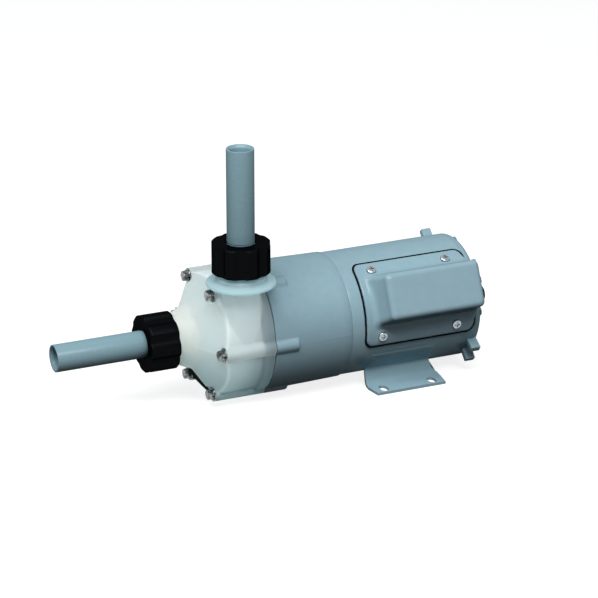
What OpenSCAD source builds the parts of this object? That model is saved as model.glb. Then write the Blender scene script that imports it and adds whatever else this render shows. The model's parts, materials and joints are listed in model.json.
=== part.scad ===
// Magnetic drive pump: a moulded plastic pump head bolted to a foot-mounted electric motor.
// The motor shaft lies along Y, the suction pipe points to -Y and the discharge pipe to +Z.
// The origin is the centre of the four foot slots, on the base plane.
// Clock angles are seen from the suction side: 0 is up, 90 is +X.

/* [Motor] */
// Outer diameter of the motor barrel
barrel_d = 100.4; // [96:0.2:106]
// Sheet thickness of the motor barrel
barrel_wall = 1.6; // [1.2:0.1:2.2]
// Length of the motor barrel
barrel_len = 110.3; // [106:0.1:125]
// Length of the cast bracket between the pump casing and the barrel
bracket_len = 67.2; // [64:0.1:75]
// Thickness of the bracket's rear wall, which holds the front bearing
bracket_rear_wall = 12.7; // [11.5:0.1:16]
// How far the bracket stands proud of the barrel where they meet
bracket_step = 0.8; // [0.3:0.1:2]
// Length of each bracket ridge behind the casing seam
ridge_len = 19.9; // [14:0.1:30]
// Depth of the rear end cover behind the barrel
rear_cover_len = 6.5; // [5:0.5:9]
// Radius of the rear end cover's rounded shoulder
shoulder_r = 6; // [2:0.5:6.4]
// Length of the spigots that centre both end castings in the barrel
spigot_len = 5.3; // [3:0.1:8]
// Distance from the barrel's front end to the stator core
core_setback = 20.3; // [18:0.1:25]
// Length of the stator core
core_len = 55; // [40:1:58]
// Length of each winding head beyond the core
coil_len = 12; // [8:0.5:13]
// Bore of the stator
stator_bore = 54; // [46:1:58]
// Radial gap between rotor and stator
air_gap = 0.4; // [0.3:0.05:0.6]
// Diameter of the motor shaft in its bearings
shaft_d = 12; // [10:0.5:14]
// Outer diameter of the ball bearings
bearing_d = 32; // [28:1:36]
// Width of the ball bearings
bearing_w = 10; // [8:0.5:11]

/* [Rear lugs] */
// Clock angle of the upper lugs, left and right of the top
lug_angle = 52.5; // [45:0.5:60]
// Clock angle from a lug's middle to each of its two prongs
lug_fork_angle = 7.5; // [6:0.5:10]
// Thickness of a prong
lug_t = 5; // [3:0.5:6]
// Height of a prong above the barrel
lug_h = 10; // [6:0.5:14]
// Length of a prong along the motor
lug_len = 8.2; // [7:0.1:12]
// How much of that length reaches forward over the barrel's end
lug_overhang = 4.7; // [3:0.1:6]

/* [Feet] */
// Gap between the base plane and the bottom of the barrel
base_gap = 3.8; // [2.5:0.1:12]
// Distance from the barrel's front end to the middle of the feet
foot_setback = 50.3; // [45:0.1:60]
// Sheet thickness of the feet
foot_t = 2.3; // [1.6:0.1:3.2]
// Length of the feet along the motor
foot_len = 64; // [54:1:80]
// Clock angle at which a foot's leg leaves the barrel
foot_angle = 142; // [136:1:146]
// Clock angle at which a foot's welded strip ends on the barrel
strip_angle = 118; // [112:1:126]
// How far a leg runs outward on its way down
leg_run = 4.8; // [2:0.1:8]
// Distance between the slots across the motor
slot_spacing_x = 97; // [94:0.5:110]
// Distance between the slots along the motor
slot_spacing_y = 43; // [36:0.5:45]
// Width of a slot
slot_w = 6.5; // [5:0.1:7]
// Length of a slot, end to end
slot_l = 11; // [8:0.5:12]
// Distance from a slot's centre to the foot's outer edge
slot_edge = 7.5; // [7:0.1:10]
// Corner radius of a foot
foot_corner_r = 5; // [2:0.5:6]

/* [Terminal box] */
// Clock angle of the terminal box
box_angle = 64.7; // [60:0.1:70]
// Length of the cover plate along the motor
plate_len = 97.9; // [92:0.1:100]
// Width of the cover plate across its middle
plate_w = 66; // [62:0.5:70]
// Corner radius of the cover plate
plate_corner_r = 8; // [4:0.5:10]
// Distance from the cover plate's rear edge to the barrel's rear end
plate_end_gap = 0.4; // [0.2:0.1:3]
// Thickness of the cover's sheet
cover_t = 1.5; // [1:0.1:2]
// Thickness of the gasket under the cover
gasket_t = 1.2; // [0.8:0.1:2]
// How far the gasket shows round the cover plate
gasket_rim = 1; // [0.5:0.1:1.5]
// Width of the gasket's frame inside the cover plate's edge
gasket_land = 7; // [6:0.5:8]
// Height of the box's outer face above the barrel
box_h = 20.8; // [19.5:0.1:26]
// Width of the box's outer face
box_w = 38; // [36:0.5:40]
// Extra width of the box at its foot, on each side
box_flare = 1.5; // [0:0.1:2]
// Sideways shift of the box on its plate
box_shift = -2; // [-4:0.1:2]
// Distance from the plate's front edge to the front of the box's outer face
box_front = 15.8; // [14:0.1:20]
// How far the box's front wall leans back on its way up
box_lean = 8.5; // [4:0.1:10]
// Edge radius of the box
box_edge_r = 4.5; // [3:0.1:6]
// Distance between the cover screws along the motor
cover_screw_pitch = 66; // [60:0.5:70]
// Distance from the front cover screws to the plate's front edge
cover_screw_setback = 13.3; // [10:0.1:15]
// Clock angle between a cover screw and the middle of the cover plate
cover_screw_angle = 30.2; // [29:0.1:31]
// Diameter of the hole for the cable
cable_d = 7; // [5:0.5:8]

/* [Pump casing] */
// Diameter of the impeller
impeller_d = 72; // [64:0.5:80]
// Radial room round the impeller
volute_gap = 4; // [3:0.1:6]
// Radial width of the seal land round the chamber
seal_land = 4; // [3.6:0.1:6]
// Distance from the seal land to the bolt circle
bolt_land = 4.6; // [4.5:0.1:6]
// Length of the front casing from the bolt heads to the seam
casing_len = 42.5; // [40:0.5:50]
// Length of the larger ring at the front casing's rear edge
rear_ring_len = 9.5; // [6:0.5:12]
// Length over which the six flat faces cut the drum's front edge
front_plate_len = 8; // [7:0.5:10]
// Lean of those flat faces from the shaft's direction
front_lean = 55; // [50:1:60]
// How far the drum stands outside the bolt circle
drum_margin = 1.4; // [0.5:0.1:2.5]
// How far the rear ring stands outside the drum
ring_step = 2; // [1:0.1:3]
// Radius of the bolt bosses and of the bracket's ridges
boss_r = 6; // [5.5:0.1:7]
// Depth of the chamber's front wall behind the bolt heads
front_wall = 12; // [10:0.5:14]
// Length of the rear casing's flange
flange_len = 6.5; // [6:0.1:9]
// Height of the six-sided pyramid in front of the bolt heads
pyramid_len = 13.5; // [8:0.5:18]
// Corner radius of the pyramid at its top
pyramid_top_r = 27; // [25:0.5:30]
// Height of the conical suction hub in front of the bolt heads
hub_len = 25.4; // [22:0.1:32]
// Radius of the suction hub at its foot
hub_foot_r = 35; // [32:0.5:37]
// Radius of the suction hub at its top
hub_top_r = 22; // [19:0.5:24]
// Sideways distance from the motor shaft to the discharge
discharge_x = 35; // [32:0.5:38]
// Distance from the bolt heads back to the discharge
discharge_setback = 20; // [18:0.5:22]
// Outer radius of the discharge riser
riser_r = 15; // [13:0.5:16]
// Height of the discharge disc's underside above the shaft
disc_z = 51.8; // [51:0.1:60]
// Thickness of the discharge disc
disc_t = 3.2; // [2.5:0.1:5]
// Radius of the discharge disc
disc_r = 27.7; // [24:0.1:30]
// Length of the round shoulder between the disc and the nut
shoulder_len = 7; // [5:0.1:10]
// Radius of that shoulder
shoulder_neck_r = 19; // [17.5:0.1:21]

/* [Unions and pipes] */
// Outer diameter of the pipes
pipe_d = 22; // [20:0.5:24]
// Bore of the pipes
pipe_bore = 16; // [14:0.5:17]
// Free length of the suction pipe outside its nut
suction_pipe_len = 73.7; // [50:0.1:120]
// Free length of the discharge pipe outside its nut
discharge_pipe_len = 75.9; // [50:0.1:120]
// Outer thread diameter of the two necks
thread_d = 33.24; // [32:0.02:36]
// Length of a neck inside its nut
neck_len = 14; // [12:0.5:18]
// Length of a union nut
nut_len = 24.6; // [23.5:0.1:34]
// Outer radius of a union nut over its lobes
nut_r = 23.7; // [22.5:0.1:26]
// Depth of the grooves between the lobes
nut_groove = 2.4; // [0.8:0.1:2.6]
// Number of lobes on a nut
nut_lobes = 8; // [6:1:12]
// Thickness of the tail's collar
collar_t = 4.5; // [3:0.1:6]
// Wall of the tail round the pipe
tail_wall = 2.2; // [1.8:0.1:2.5]
// How far the tail stays below the nut's outer face
tail_recess = 2.1; // [1:0.1:3]

/* [Magnetic drive] */
// Diameter of the impeller's magnet capsule
capsule_d = 47; // [44:0.5:50]
// Wall of the magnet capsule
capsule_wall = 1.5; // [1:0.1:2]
// Running gap between the capsule and the can
can_gap = 1.5; // [1:0.1:2]
// Wall of the can
can_wall = 2; // [1.5:0.1:2.5]
// Depth of the can behind the rear casing's front face
can_depth = 38; // [35:0.5:40]
// Thickness of the can's end wall
can_end = 6; // [5:0.5:7]
// Gap between the can and the drive magnets
drive_gap = 2; // [1.5:0.1:2.5]
// Radial thickness of the drive magnets
drive_magnet_t = 5; // [4:0.1:5.5]
// Length of the drive magnets
magnet_len = 26; // [20:0.5:28]
// Number of poles
poles = 8; // [4:2:12]
// Wall of the drive cup
cup_wall = 4.5; // [3.5:0.1:5]
// Diameter of the ceramic spindle
spindle_d = 10; // [8:0.5:11]
// Wall of the bush that runs on the spindle
bush_wall = 3; // [2.5:0.1:4]
// Thickness of the thrust washers
thrust_t = 3; // [2:0.1:3.5]
// Height of the impeller's vanes
vane_h = 9.5; // [7:0.1:11]
// Thickness of the impeller's shrouds
shroud_t = 2.75; // [2:0.05:3.5]
// Radius of the impeller's eye
eye_r = 14; // [13.5:0.1:15]

/* [Fasteners and clearances] */
// Thread diameter of the casing bolts
bolt_d = 5; // [4:0.5:6]
// Length of thread in the bracket
bolt_grip = 16; // [10:0.5:18]
// Thread diameter of the cover, earth and tie screws
screw_d = 4; // [3:0.5:4.5]
// Radial clearance of a screw in a plain hole
hole_gap = 0.35; // [0.2:0.05:0.5]
// Radial clearance of a screw in its thread
thread_gap = 0.08; // [0.05:0.01:0.1]
// Radial clearance of pieces that are pressed or glued together
seat_gap = 0.05; // [0.02:0.01:0.1]
// Radial running clearance of a shaft in a bush or ball race
run_gap = 0.05; // [0.02:0.01:0.1]
// Clearance between pieces that move past each other
move_gap = 0.4; // [0.3:0.05:0.6]
// Section radius of the casing seal ring
casing_seal_r = 1.4; // [1:0.1:1.5]
// Section radius of the two union seal rings
union_seal_r = 1.3; // [1:0.1:1.4]

/* [Hidden] */
$fn = 96;
cut = 1;
ball_fn = 32;

// Motor sizes and stations along the shaft
barrel_r = barrel_d / 2;
barrel_in_r = barrel_r - barrel_wall;
shaft_h = barrel_r + base_gap;
barrel_y0 = -foot_setback;
barrel_y1 = barrel_y0 + barrel_len;
seam_y = barrel_y0 - bracket_len;
face_y = seam_y - casing_len;
spigot_r = barrel_in_r - seat_gap;
stator_r = barrel_in_r - 2 * seat_gap;
core_y0 = barrel_y0 + core_setback;
core_y1 = core_y0 + core_len;
screw_r = screw_d / 2;
tie_r = stator_r - screw_r - 1;
coil_out_r = tie_r - screw_r - 2;
coil_in_r = stator_bore / 2 + 3;
spigot_in_r = coil_out_r + 0.5;
slot_count = 24;
stator_slot_w = 3.2;
slot_in_r = stator_bore / 2 + 2;
slot_out_r = coil_out_r - 1.5;
rotor_r = stator_bore / 2 - air_gap;
end_ring_r = rotor_r - 2.6;
end_ring_len = 6;
shaft_r = shaft_d / 2;
shaft_mid_r = shaft_r + 2;
bearing_r = bearing_d / 2;
ball_path_r = (shaft_r + bearing_r) / 2;
ball_r = (bearing_r - shaft_r) * 0.24;
ball_count = 7;
race_gap = ball_r * 0.8;
wave_t = 1.4;
rear_bearing_inset = 5.5;
rear_bearing_y1 = barrel_y1 + rear_cover_len - rear_bearing_inset;
rear_bearing_y0 = rear_bearing_y1 - bearing_w;
bearing_boss_r = bearing_r + 4;
lug_clocks = [-lug_angle, lug_angle, 180 - lug_angle, lug_angle - 180];
lug_lift = 0.5;
tie_clocks = [0, 90, 180, 270];

// Pump casing sizes, with stations measured back from the bolt heads
impeller_r = impeller_d / 2;
chamber_r = impeller_r + volute_gap;
flange_seat_r = chamber_r + seal_land;
flange_r = flange_seat_r - seat_gap;
bolt_circle_r = flange_seat_r + bolt_land;
drum_r = bolt_circle_r + drum_margin;
rear_ring_r = drum_r + ring_step;
bracket_front_r = rear_ring_r + 0.4;
bracket_rear_r = barrel_r + bracket_step;
pyramid_foot_r = bolt_circle_r - boss_r;
front_flare = front_plate_len * tan(front_lean) / cos(30);
chamber_z1 = casing_len - flange_len;
passage_r = pipe_bore / 2 + 0.5;
inlet_r = eye_r + 1;
ring_bore_r = eye_r + 3;
ring_out_r = ring_bore_r + 3.5;
ring_seat_len = 4.5;
ring_len = 7;
seal_ring_r = chamber_r + seal_land / 2;
discharge_y = face_y + discharge_setback;

// Union sizes, with stations measured outward from a nut's inner end
nut_gap = 0.6;
suction_y = face_y - hub_len - nut_gap;
discharge_z = shaft_h + disc_z + disc_t + shoulder_len + nut_gap;
pipe_r = pipe_d / 2;
thread_r = thread_d / 2;
neck_root = 6;
nut_bore_r = thread_r + move_gap;
collar_r = nut_bore_r - 1;
collar_z0 = neck_len + 0.5;
collar_z1 = collar_z0 + collar_t;
tail_r = pipe_r + tail_wall;
tail_z1 = nut_len - tail_recess;
tail_bore_r = pipe_bore / 2 - 0.5;
socket_z0 = collar_z0 + 3;
glue_gap = 0.4;
spigot_proud = 0.6;
lip_z0 = collar_z1 + move_gap;
lip_bore_r = tail_r + move_gap;
nut_chamfer = 1.2;
groove_r = 5.7;
union_seal_ring_r = (passage_r + thread_r) / 2;
union_groove_depth = 2 * union_seal_r - 0.2;

// Magnetic drive sizes, with stations measured back from the bolt heads
spindle_r = spindle_d / 2;
bush_r = spindle_r + bush_wall;
spider_r = spindle_r + 2.6;
spider_len = front_wall - thrust_t;
socket_depth = 4;
end_gap = 0.6;
can_z1 = chamber_z1 + can_depth;
bush_z0 = front_wall + end_gap;
bush_z1 = can_z1 - thrust_t - end_gap;
capsule_r = capsule_d / 2;
can_in_r = capsule_r + can_gap;
can_out_r = can_in_r + can_wall;
hub_wall = 2.4;
hub_r = bush_r + seat_gap + hub_wall;
core_wall = 2;
core_hub_r = hub_r + core_wall;
back_gap = 3;
back_z1 = chamber_z1 - back_gap;
vane_z1 = back_z1 - shroud_t;
vane_z0 = vane_z1 - vane_h;
front_z0 = vane_z0 - shroud_t;
eye_step = 1.5;
eye_z0 = front_wall - ring_seat_len + eye_step;
eye_wall = 2.5;
vane_count = 6;
vane_t = 2.4;
vane_root = 0.5;
vane_inset = 0.5;
capsule_step = 1;
capsule_z1 = bush_z1 - capsule_step;
cap_t = 3.4;
magnet_z1 = capsule_z1 - cap_t;
magnet_z0 = magnet_z1 - magnet_len;
driven_out_r = capsule_r - capsule_wall - seat_gap;
driven_yoke_t = 3.5;
driven_yoke_r = core_hub_r + driven_yoke_t;
pole_gap = 0.8;
drive_in_r = can_out_r + drive_gap;
drive_out_r = drive_in_r + drive_magnet_t;
cup_r = drive_out_r + seat_gap + cup_wall;
cup_front_gap = 1.5;
cup_z0 = casing_len + cup_front_gap;
cup_end_gap = 2;
cup_back_z0 = can_z1 + can_end + cup_end_gap;
cup_back_t = 4;
drive_hub_wall = 6.5;
drive_hub_r = shaft_r + drive_hub_wall;
bracket_z1 = casing_len + bracket_len - bracket_rear_wall;
hub_end_gap = 1;
drive_hub_z1 = bracket_z1 - hub_end_gap;
set_screw_z = (cup_back_z0 + cup_back_t + drive_hub_z1) / 2;
lip_step = 1.5;
lip_r = cup_r + lip_step;
lip_t = 4;
bolt_margin = 2.6;
bracket_in_r = bolt_circle_r - bolt_d / 2 - bolt_margin;

// Casing bolt sizes
bolt_r = bolt_d / 2;
washer_t = 1;
washer_r = bolt_d * 1.2;
spring_t = 1.3;
spring_r = bolt_d * 0.92;
head_h = bolt_d * 0.7;
head_r = bolt_d * 0.8 / cos(30);

// Terminal box sizes; heights are measured from the shaft
plate_y1 = barrel_y1 - plate_end_gap;
plate_y0 = plate_y1 - plate_len;
gasket_r = barrel_r + gasket_t;
plate_r = gasket_r + cover_t;
box_top = barrel_r + box_h;
box_root = barrel_r - 4;
box_y0 = plate_y0 + box_front;
box_y1 = plate_y1 - 0.6;
window_w = plate_w - 2 * gasket_land;
window_len = plate_len - 2 * gasket_land;
cover_screw_ys = [plate_y0 + cover_screw_setback, plate_y0 + cover_screw_setback + cover_screw_pitch];
pan_r = screw_d * 0.97;
pan_h = screw_d * 0.62;
cable_offset = 8;
cable_u = box_shift + cable_offset;
cable_h = barrel_r + box_h / 2;
grommet_wall = 1.4;
grommet_flange = 1.8;
block_w = 24;
block_len = 20;
block_h = 11;
block_y0 = box_y0 + 1.5;
block_screw_d = 3;
block_screw_len = 5;
block_hole_depth = block_screw_len + 1;
lead_r = 3.4;
lead_lip_r = lead_r + 2 * grommet_wall;
lead_y = plate_y1 - gasket_land - lead_lip_r - 0.4;
capacitor_r = 8;
capacitor_y0 = block_y0 + block_len + 4;
capacitor_len = lead_y - lead_lip_r - 0.6 - capacitor_y0;
clip_t = 0.9;
capacitor_h = barrel_r + capacitor_r + clip_t + 0.3;
clip_len = 10;
lead_clock = box_angle + 6;
earth_clock = box_angle - 16;

// Foot sizes, in the plane across the motor
strip_r = barrel_r + seat_gap;
crease = [(strip_r + foot_t / 2) * sin(foot_angle), shaft_h + (strip_r + foot_t / 2) * cos(foot_angle)];
bend = [crease[0] + leg_run, foot_t / 2];
foot_edge_x = slot_spacing_x / 2 + slot_edge;

paint = "lightslategray";
natural_plastic = "azure";
black_plastic = "#26262a";
pipe_grey = "slategray";
steel = "silver";
black_rubber = "#303030";

// Placing helpers

// Local Z runs along the shaft towards the rear, from station y
module turned(y) {
  translate([0, y, shaft_h])
    rotate([-90, 0, 0])
      children();
}

// Local Z points away from the shaft at a clock angle; local X follows the clock
module clock(angle) {
  translate([0, 0, shaft_h])
    rotate([0, angle, 0])
      children();
}

// Six places on the casing's bolt circle, inside turned()
module bolt_places() {
  for (k = [0:5])
    rotate([0, 0, 60 * k])
      translate([bolt_circle_r, 0, 0])
        children();
}

// Local Z points outward from the suction neck, from the nut's inner end
module suction_place() {
  translate([0, suction_y, shaft_h])
    rotate([90, 0, 0])
      children();
}

// Local Z points outward from the discharge neck, from the nut's inner end
module discharge_place() {
  translate([discharge_x, discharge_y, discharge_z])
    children();
}

// Shape helpers

module ring(r_out, r_in, len) {
  rotate_extrude()
    translate([r_in, 0])
      square([r_out - r_in, len]);
}

module torus(path_r, section_r) {
  rotate_extrude()
    translate([path_r, 0])
      circle(section_r);
}

// Flat rectangle with round corners, centred
module round_rect(w, l, r) {
  square([w - 2 * r, l], center = true);
  square([w, l - 2 * r], center = true);
  for (x = [-1, 1], y = [-1, 1])
    translate([x * (w / 2 - r), y * (l / 2 - r)])
      circle(r);
}

// Flat strip of width t with round ends, from point a to point b
module strip(a, b, t) {
  run = b - a;
  for (p = [a, b])
    translate(p)
      circle(t / 2);
  translate(a)
    rotate(atan2(run[1], run[0]))
      translate([0, -t / 2])
        square([norm(run), t]);
}

// Magnet segments round a circle, with gaps between the poles
module pole_ring(r_out, r_in, len) {
  difference() {
    ring(r_out, r_in, len);
    for (k = [0:poles - 1])
      rotate([0, 0, 360 / poles * (k + 0.5)])
        translate([0, -pole_gap / 2, -cut])
          cube([r_out + cut, pole_gap, len + 2 * cut]);
  }
}

// Pan head screw pointing down from its seat at height 0
module pan_screw(d, len) {
  translate([0, 0, -len])
    cylinder(d = d - 2 * thread_gap, h = len);
  difference() {
    cylinder(r = d * 0.97, h = d * 0.62);
    for (a = [0, 90])
      rotate(a)
        translate([-d * 0.55, -d * 0.11, d * 0.3])
          cube([d * 1.1, d * 0.22, d]);
  }
}

// Pump casing

module neck_outside() {
  translate([0, 0, -neck_root])
    cylinder(r = thread_r, h = neck_root + neck_len);
}

module neck_groove() {
  translate([0, 0, neck_len - union_groove_depth])
    ring(union_seal_ring_r + union_seal_r + seat_gap, union_seal_ring_r - union_seal_r - seat_gap,
      union_groove_depth + cut);
}

module casing_outside() {
  intersection() {
    cylinder(r = drum_r, h = front_plate_len);
    cylinder(r1 = drum_r, r2 = drum_r + front_flare, h = front_plate_len, $fn = 6);
  }
  translate([0, 0, front_plate_len])
    cylinder(r = drum_r, h = casing_len - front_plate_len);
  translate([0, 0, casing_len - rear_ring_len])
    cylinder(r = rear_ring_r, h = rear_ring_len);
  bolt_places()
    cylinder(r = boss_r, h = casing_len);
  translate([0, 0, -pyramid_len])
    cylinder(r1 = pyramid_top_r, r2 = pyramid_foot_r, h = pyramid_len, $fn = 6);
  translate([0, 0, -hub_len])
    cylinder(r1 = hub_top_r, r2 = hub_foot_r, h = hub_len);
}

// Suction passage, mouth ring seat, chamber and flange seat
module casing_inside() {
  rotate_extrude()
    polygon([
      [0, -hub_len - nut_gap - neck_len - cut],
      [passage_r, -hub_len - nut_gap - neck_len - cut],
      [passage_r, -front_wall],
      [inlet_r, 0],
      [inlet_r, front_wall - ring_seat_len],
      [ring_out_r + seat_gap, front_wall - ring_seat_len],
      [ring_out_r + seat_gap, front_wall],
      [chamber_r, front_wall],
      [chamber_r, chamber_z1],
      [flange_seat_r, chamber_z1],
      [flange_seat_r, casing_len + cut],
      [0, casing_len + cut]
    ]);
}

// Three-armed holder for the spindle's front end, across the inlet
module spindle_holder() {
  rib_t = 3;
  rib_sink = 1;
  rib_len = inlet_r - spindle_r;
  difference() {
    union() {
      cylinder(r = spider_r, h = spider_len);
      for (k = [0:2])
        rotate([0, 0, 90 + 120 * k])
          translate([spindle_r + rib_sink, -rib_t / 2, rib_sink])
            cube([rib_len, rib_t, front_wall - ring_seat_len - 2 * rib_sink]);
    }
    translate([0, 0, spider_len - socket_depth])
      cylinder(r = spindle_r + seat_gap, h = socket_depth + cut);
  }
}

module discharge_riser() {
  translate([discharge_x, discharge_y, shaft_h]) {
    cylinder(r = riser_r, h = disc_z);
    translate([0, 0, disc_z])
      cylinder(r = disc_r, h = disc_t);
    translate([0, 0, disc_z])
      cylinder(r = shoulder_neck_r, h = disc_t + shoulder_len);
  }
}

module front_casing() {
  color(natural_plastic) {
    difference() {
      union() {
        turned(face_y)
          casing_outside();
        discharge_riser();
        suction_place()
          neck_outside();
        discharge_place()
          neck_outside();
      }
      turned(face_y) {
        casing_inside();
        bolt_places()
          translate([0, 0, -cut])
            cylinder(r = bolt_r + hole_gap, h = casing_len + 2 * cut);
      }
      translate([discharge_x, discharge_y, shaft_h])
        cylinder(r = passage_r, h = discharge_z - shaft_h + neck_len + cut);
      suction_place()
        neck_groove();
      discharge_place()
        neck_groove();
    }
    turned(face_y)
      spindle_holder();
  }
}

module rear_casing() {
  color(natural_plastic)
    turned(face_y + chamber_z1)
      difference() {
        rotate_extrude()
          polygon([
            [can_in_r, 0],
            [flange_r, 0],
            [flange_r, flange_len],
            [can_out_r, flange_len],
            [can_out_r, can_depth + can_end],
            [0, can_depth + can_end],
            [0, can_depth + socket_depth],
            [spindle_r + seat_gap, can_depth + socket_depth],
            [spindle_r + seat_gap, can_depth],
            [can_in_r, can_depth]
          ]);
        translate([0, 0, -cut])
          ring(seal_ring_r + casing_seal_r + seat_gap, seal_ring_r - casing_seal_r - seat_gap,
            2 * casing_seal_r + seat_gap + cut);
      }
}

module casing_o_ring() {
  color(black_rubber)
    turned(face_y + chamber_z1 + casing_seal_r + seat_gap / 2)
      torus(seal_ring_r, casing_seal_r);
}

module mouth_ring() {
  color("ivory")
    turned(face_y + front_wall - ring_seat_len)
      ring(ring_out_r, ring_bore_r, ring_len);
}

module spindle() {
  color("whitesmoke")
    turned(face_y + spider_len - socket_depth + seat_gap)
      cylinder(r = spindle_r, h = can_z1 - spider_len + 2 * socket_depth - 2 * seat_gap);
}

module front_thrust_washer() {
  color("whitesmoke")
    turned(face_y + front_wall - thrust_t)
      ring(bush_r, spindle_r + seat_gap, thrust_t);
}

module rear_thrust_washer() {
  color("whitesmoke")
    turned(face_y + can_z1 - thrust_t)
      ring(bush_r, spindle_r + seat_gap, thrust_t);
}

// Casing fasteners

module casing_bolts() {
  head_z = -washer_t - spring_t;
  color(steel)
    turned(face_y)
      bolt_places() {
        translate([0, 0, head_z])
          cylinder(r = bolt_r - thread_gap, h = casing_len - head_z + bolt_grip);
        translate([0, 0, head_z - head_h])
          cylinder(r = head_r, h = head_h, $fn = 6);
      }
}

// Split rings under the bolt heads
module casing_spring_washers() {
  split_w = 1;
  color(steel)
    turned(face_y - washer_t - spring_t)
      bolt_places()
        difference() {
          ring(spring_r, bolt_r + 0.15, spring_t);
          translate([0, -split_w / 2, -cut])
            cube([spring_r + cut, split_w, spring_t + 2 * cut]);
        }
}

module casing_washers() {
  color(steel)
    turned(face_y - washer_t)
      bolt_places()
        ring(washer_r, bolt_r + hole_gap, washer_t);
}

// Motor

// Cavity of the bracket: lip, drive cup room, shaft hole and bearing pocket
module bracket_inside() {
  rotate_extrude()
    polygon([
      [0, -cut],
      [lip_r, -cut],
      [lip_r, lip_t],
      [bracket_in_r, lip_t],
      [bracket_in_r, bracket_len - bracket_rear_wall],
      [bearing_r - 4, bracket_len - bracket_rear_wall],
      [bearing_r - 4, bracket_len - bearing_w],
      [bearing_r + seat_gap, bracket_len - bearing_w],
      [bearing_r + seat_gap, bracket_len + cut],
      [0, bracket_len + cut]
    ]);
}

module motor_bracket() {
  tap_depth = 10;
  color(paint)
    turned(seam_y)
      difference() {
        union() {
          cylinder(r1 = bracket_front_r, r2 = bracket_rear_r, h = bracket_len);
          translate([0, 0, bracket_len])
            ring(spigot_r, spigot_in_r, spigot_len);
          bolt_places() {
            cylinder(r = boss_r, h = ridge_len - boss_r);
            translate([0, 0, ridge_len - boss_r])
              sphere(boss_r);
          }
        }
        bracket_inside();
        bolt_places()
          translate([0, 0, -cut])
            cylinder(r = bolt_r, h = bolt_grip + 2 + cut);
        for (a = tie_clocks)
          rotate([0, 0, a])
            translate([tie_r, 0, bracket_len - tap_depth])
              cylinder(r = screw_r, h = tap_depth + spigot_len + cut);
      }
}

module motor_frame() {
  color(paint)
    difference() {
      turned(barrel_y0)
        ring(barrel_r, barrel_in_r, barrel_len);
      for (y = cover_screw_ys, a = [-1, 1])
        clock(box_angle + a * cover_screw_angle)
          translate([0, y, 0])
            cylinder(r = screw_r, h = barrel_r + cut);
      clock(earth_clock)
        translate([0, lead_y, 0])
          cylinder(r = screw_r, h = barrel_r + cut);
      clock(lead_clock)
        translate([0, lead_y, 0])
          cylinder(r = lead_r + grommet_wall + seat_gap, h = barrel_r + cut);
    }
}

module stator_core() {
  color("dimgray")
    turned(core_y0)
      difference() {
        ring(stator_r, stator_bore / 2, core_len);
        for (k = [0:slot_count - 1])
          rotate([0, 0, 360 / slot_count * k])
            translate([slot_in_r, -stator_slot_w / 2, -cut])
              cube([slot_out_r - slot_in_r, stator_slot_w, core_len + 2 * cut]);
        for (a = tie_clocks)
          rotate([0, 0, a])
            translate([tie_r, 0, -cut])
              cylinder(r = screw_r + hole_gap, h = core_len + 2 * cut);
      }
}

// Winding heads at both ends of the core, joined by the bars in its slots
module stator_windings() {
  wire_gap = 0.2;
  bar_in_r = max(slot_in_r, coil_in_r) + wire_gap;
  color("chocolate")
    turned(core_y0) {
      for (z = [-coil_len, core_len + wire_gap])
        translate([0, 0, z])
          ring(coil_out_r, coil_in_r, coil_len - wire_gap);
      for (k = [0:slot_count - 1])
        rotate([0, 0, 360 / slot_count * k])
          translate([bar_in_r, -stator_slot_w / 2 + wire_gap, -1])
            cube([slot_out_r - wire_gap - bar_in_r, stator_slot_w - 2 * wire_gap, core_len + 2]);
    }
}

// Bearing parts, with the bearing's front face at height 0
module bearing_outer_ring() {
  difference() {
    ring(bearing_r, ball_path_r + race_gap, bearing_w);
    translate([0, 0, bearing_w / 2])
      torus(ball_path_r, ball_r + run_gap);
  }
}

module bearing_inner_ring() {
  difference() {
    ring(ball_path_r - race_gap, shaft_r + seat_gap, bearing_w);
    translate([0, 0, bearing_w / 2])
      torus(ball_path_r, ball_r + run_gap);
  }
}

module bearing_ball_set() {
  for (k = [0:ball_count - 1])
    rotate([0, 0, 360 / ball_count * k])
      translate([ball_path_r, 0, bearing_w / 2])
        sphere(ball_r, $fn = ball_fn);
}

module front_bearing_outer() {
  color(steel)
    turned(barrel_y0 - bearing_w)
      bearing_outer_ring();
}

module front_bearing_inner() {
  color(steel)
    turned(barrel_y0 - bearing_w)
      bearing_inner_ring();
}

module front_bearing_balls() {
  color("gainsboro")
    turned(barrel_y0 - bearing_w)
      bearing_ball_set();
}

module rear_bearing_outer() {
  color(steel)
    turned(rear_bearing_y0)
      bearing_outer_ring();
}

module rear_bearing_inner() {
  color(steel)
    turned(rear_bearing_y0)
      bearing_inner_ring();
}

module rear_bearing_balls() {
  color("gainsboro")
    turned(rear_bearing_y0)
      bearing_ball_set();
}

module wave_washer() {
  color(steel)
    turned(rear_bearing_y1)
      ring(bearing_r - 0.4, bearing_r - 3, wave_t);
}

// Prong of a lug, standing on the rear cover's rim and reaching over the barrel's end
module lug_prong(overhang) {
  translate([-lug_t / 2, barrel_y1, barrel_in_r - 4])
    cube([lug_t, lug_len - lug_overhang, barrel_wall + 4 + lug_h]);
  translate([-lug_t / 2, barrel_y1 - overhang, barrel_r + lug_lift])
    cube([lug_t, overhang + cut, lug_h - lug_lift]);
}

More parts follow.
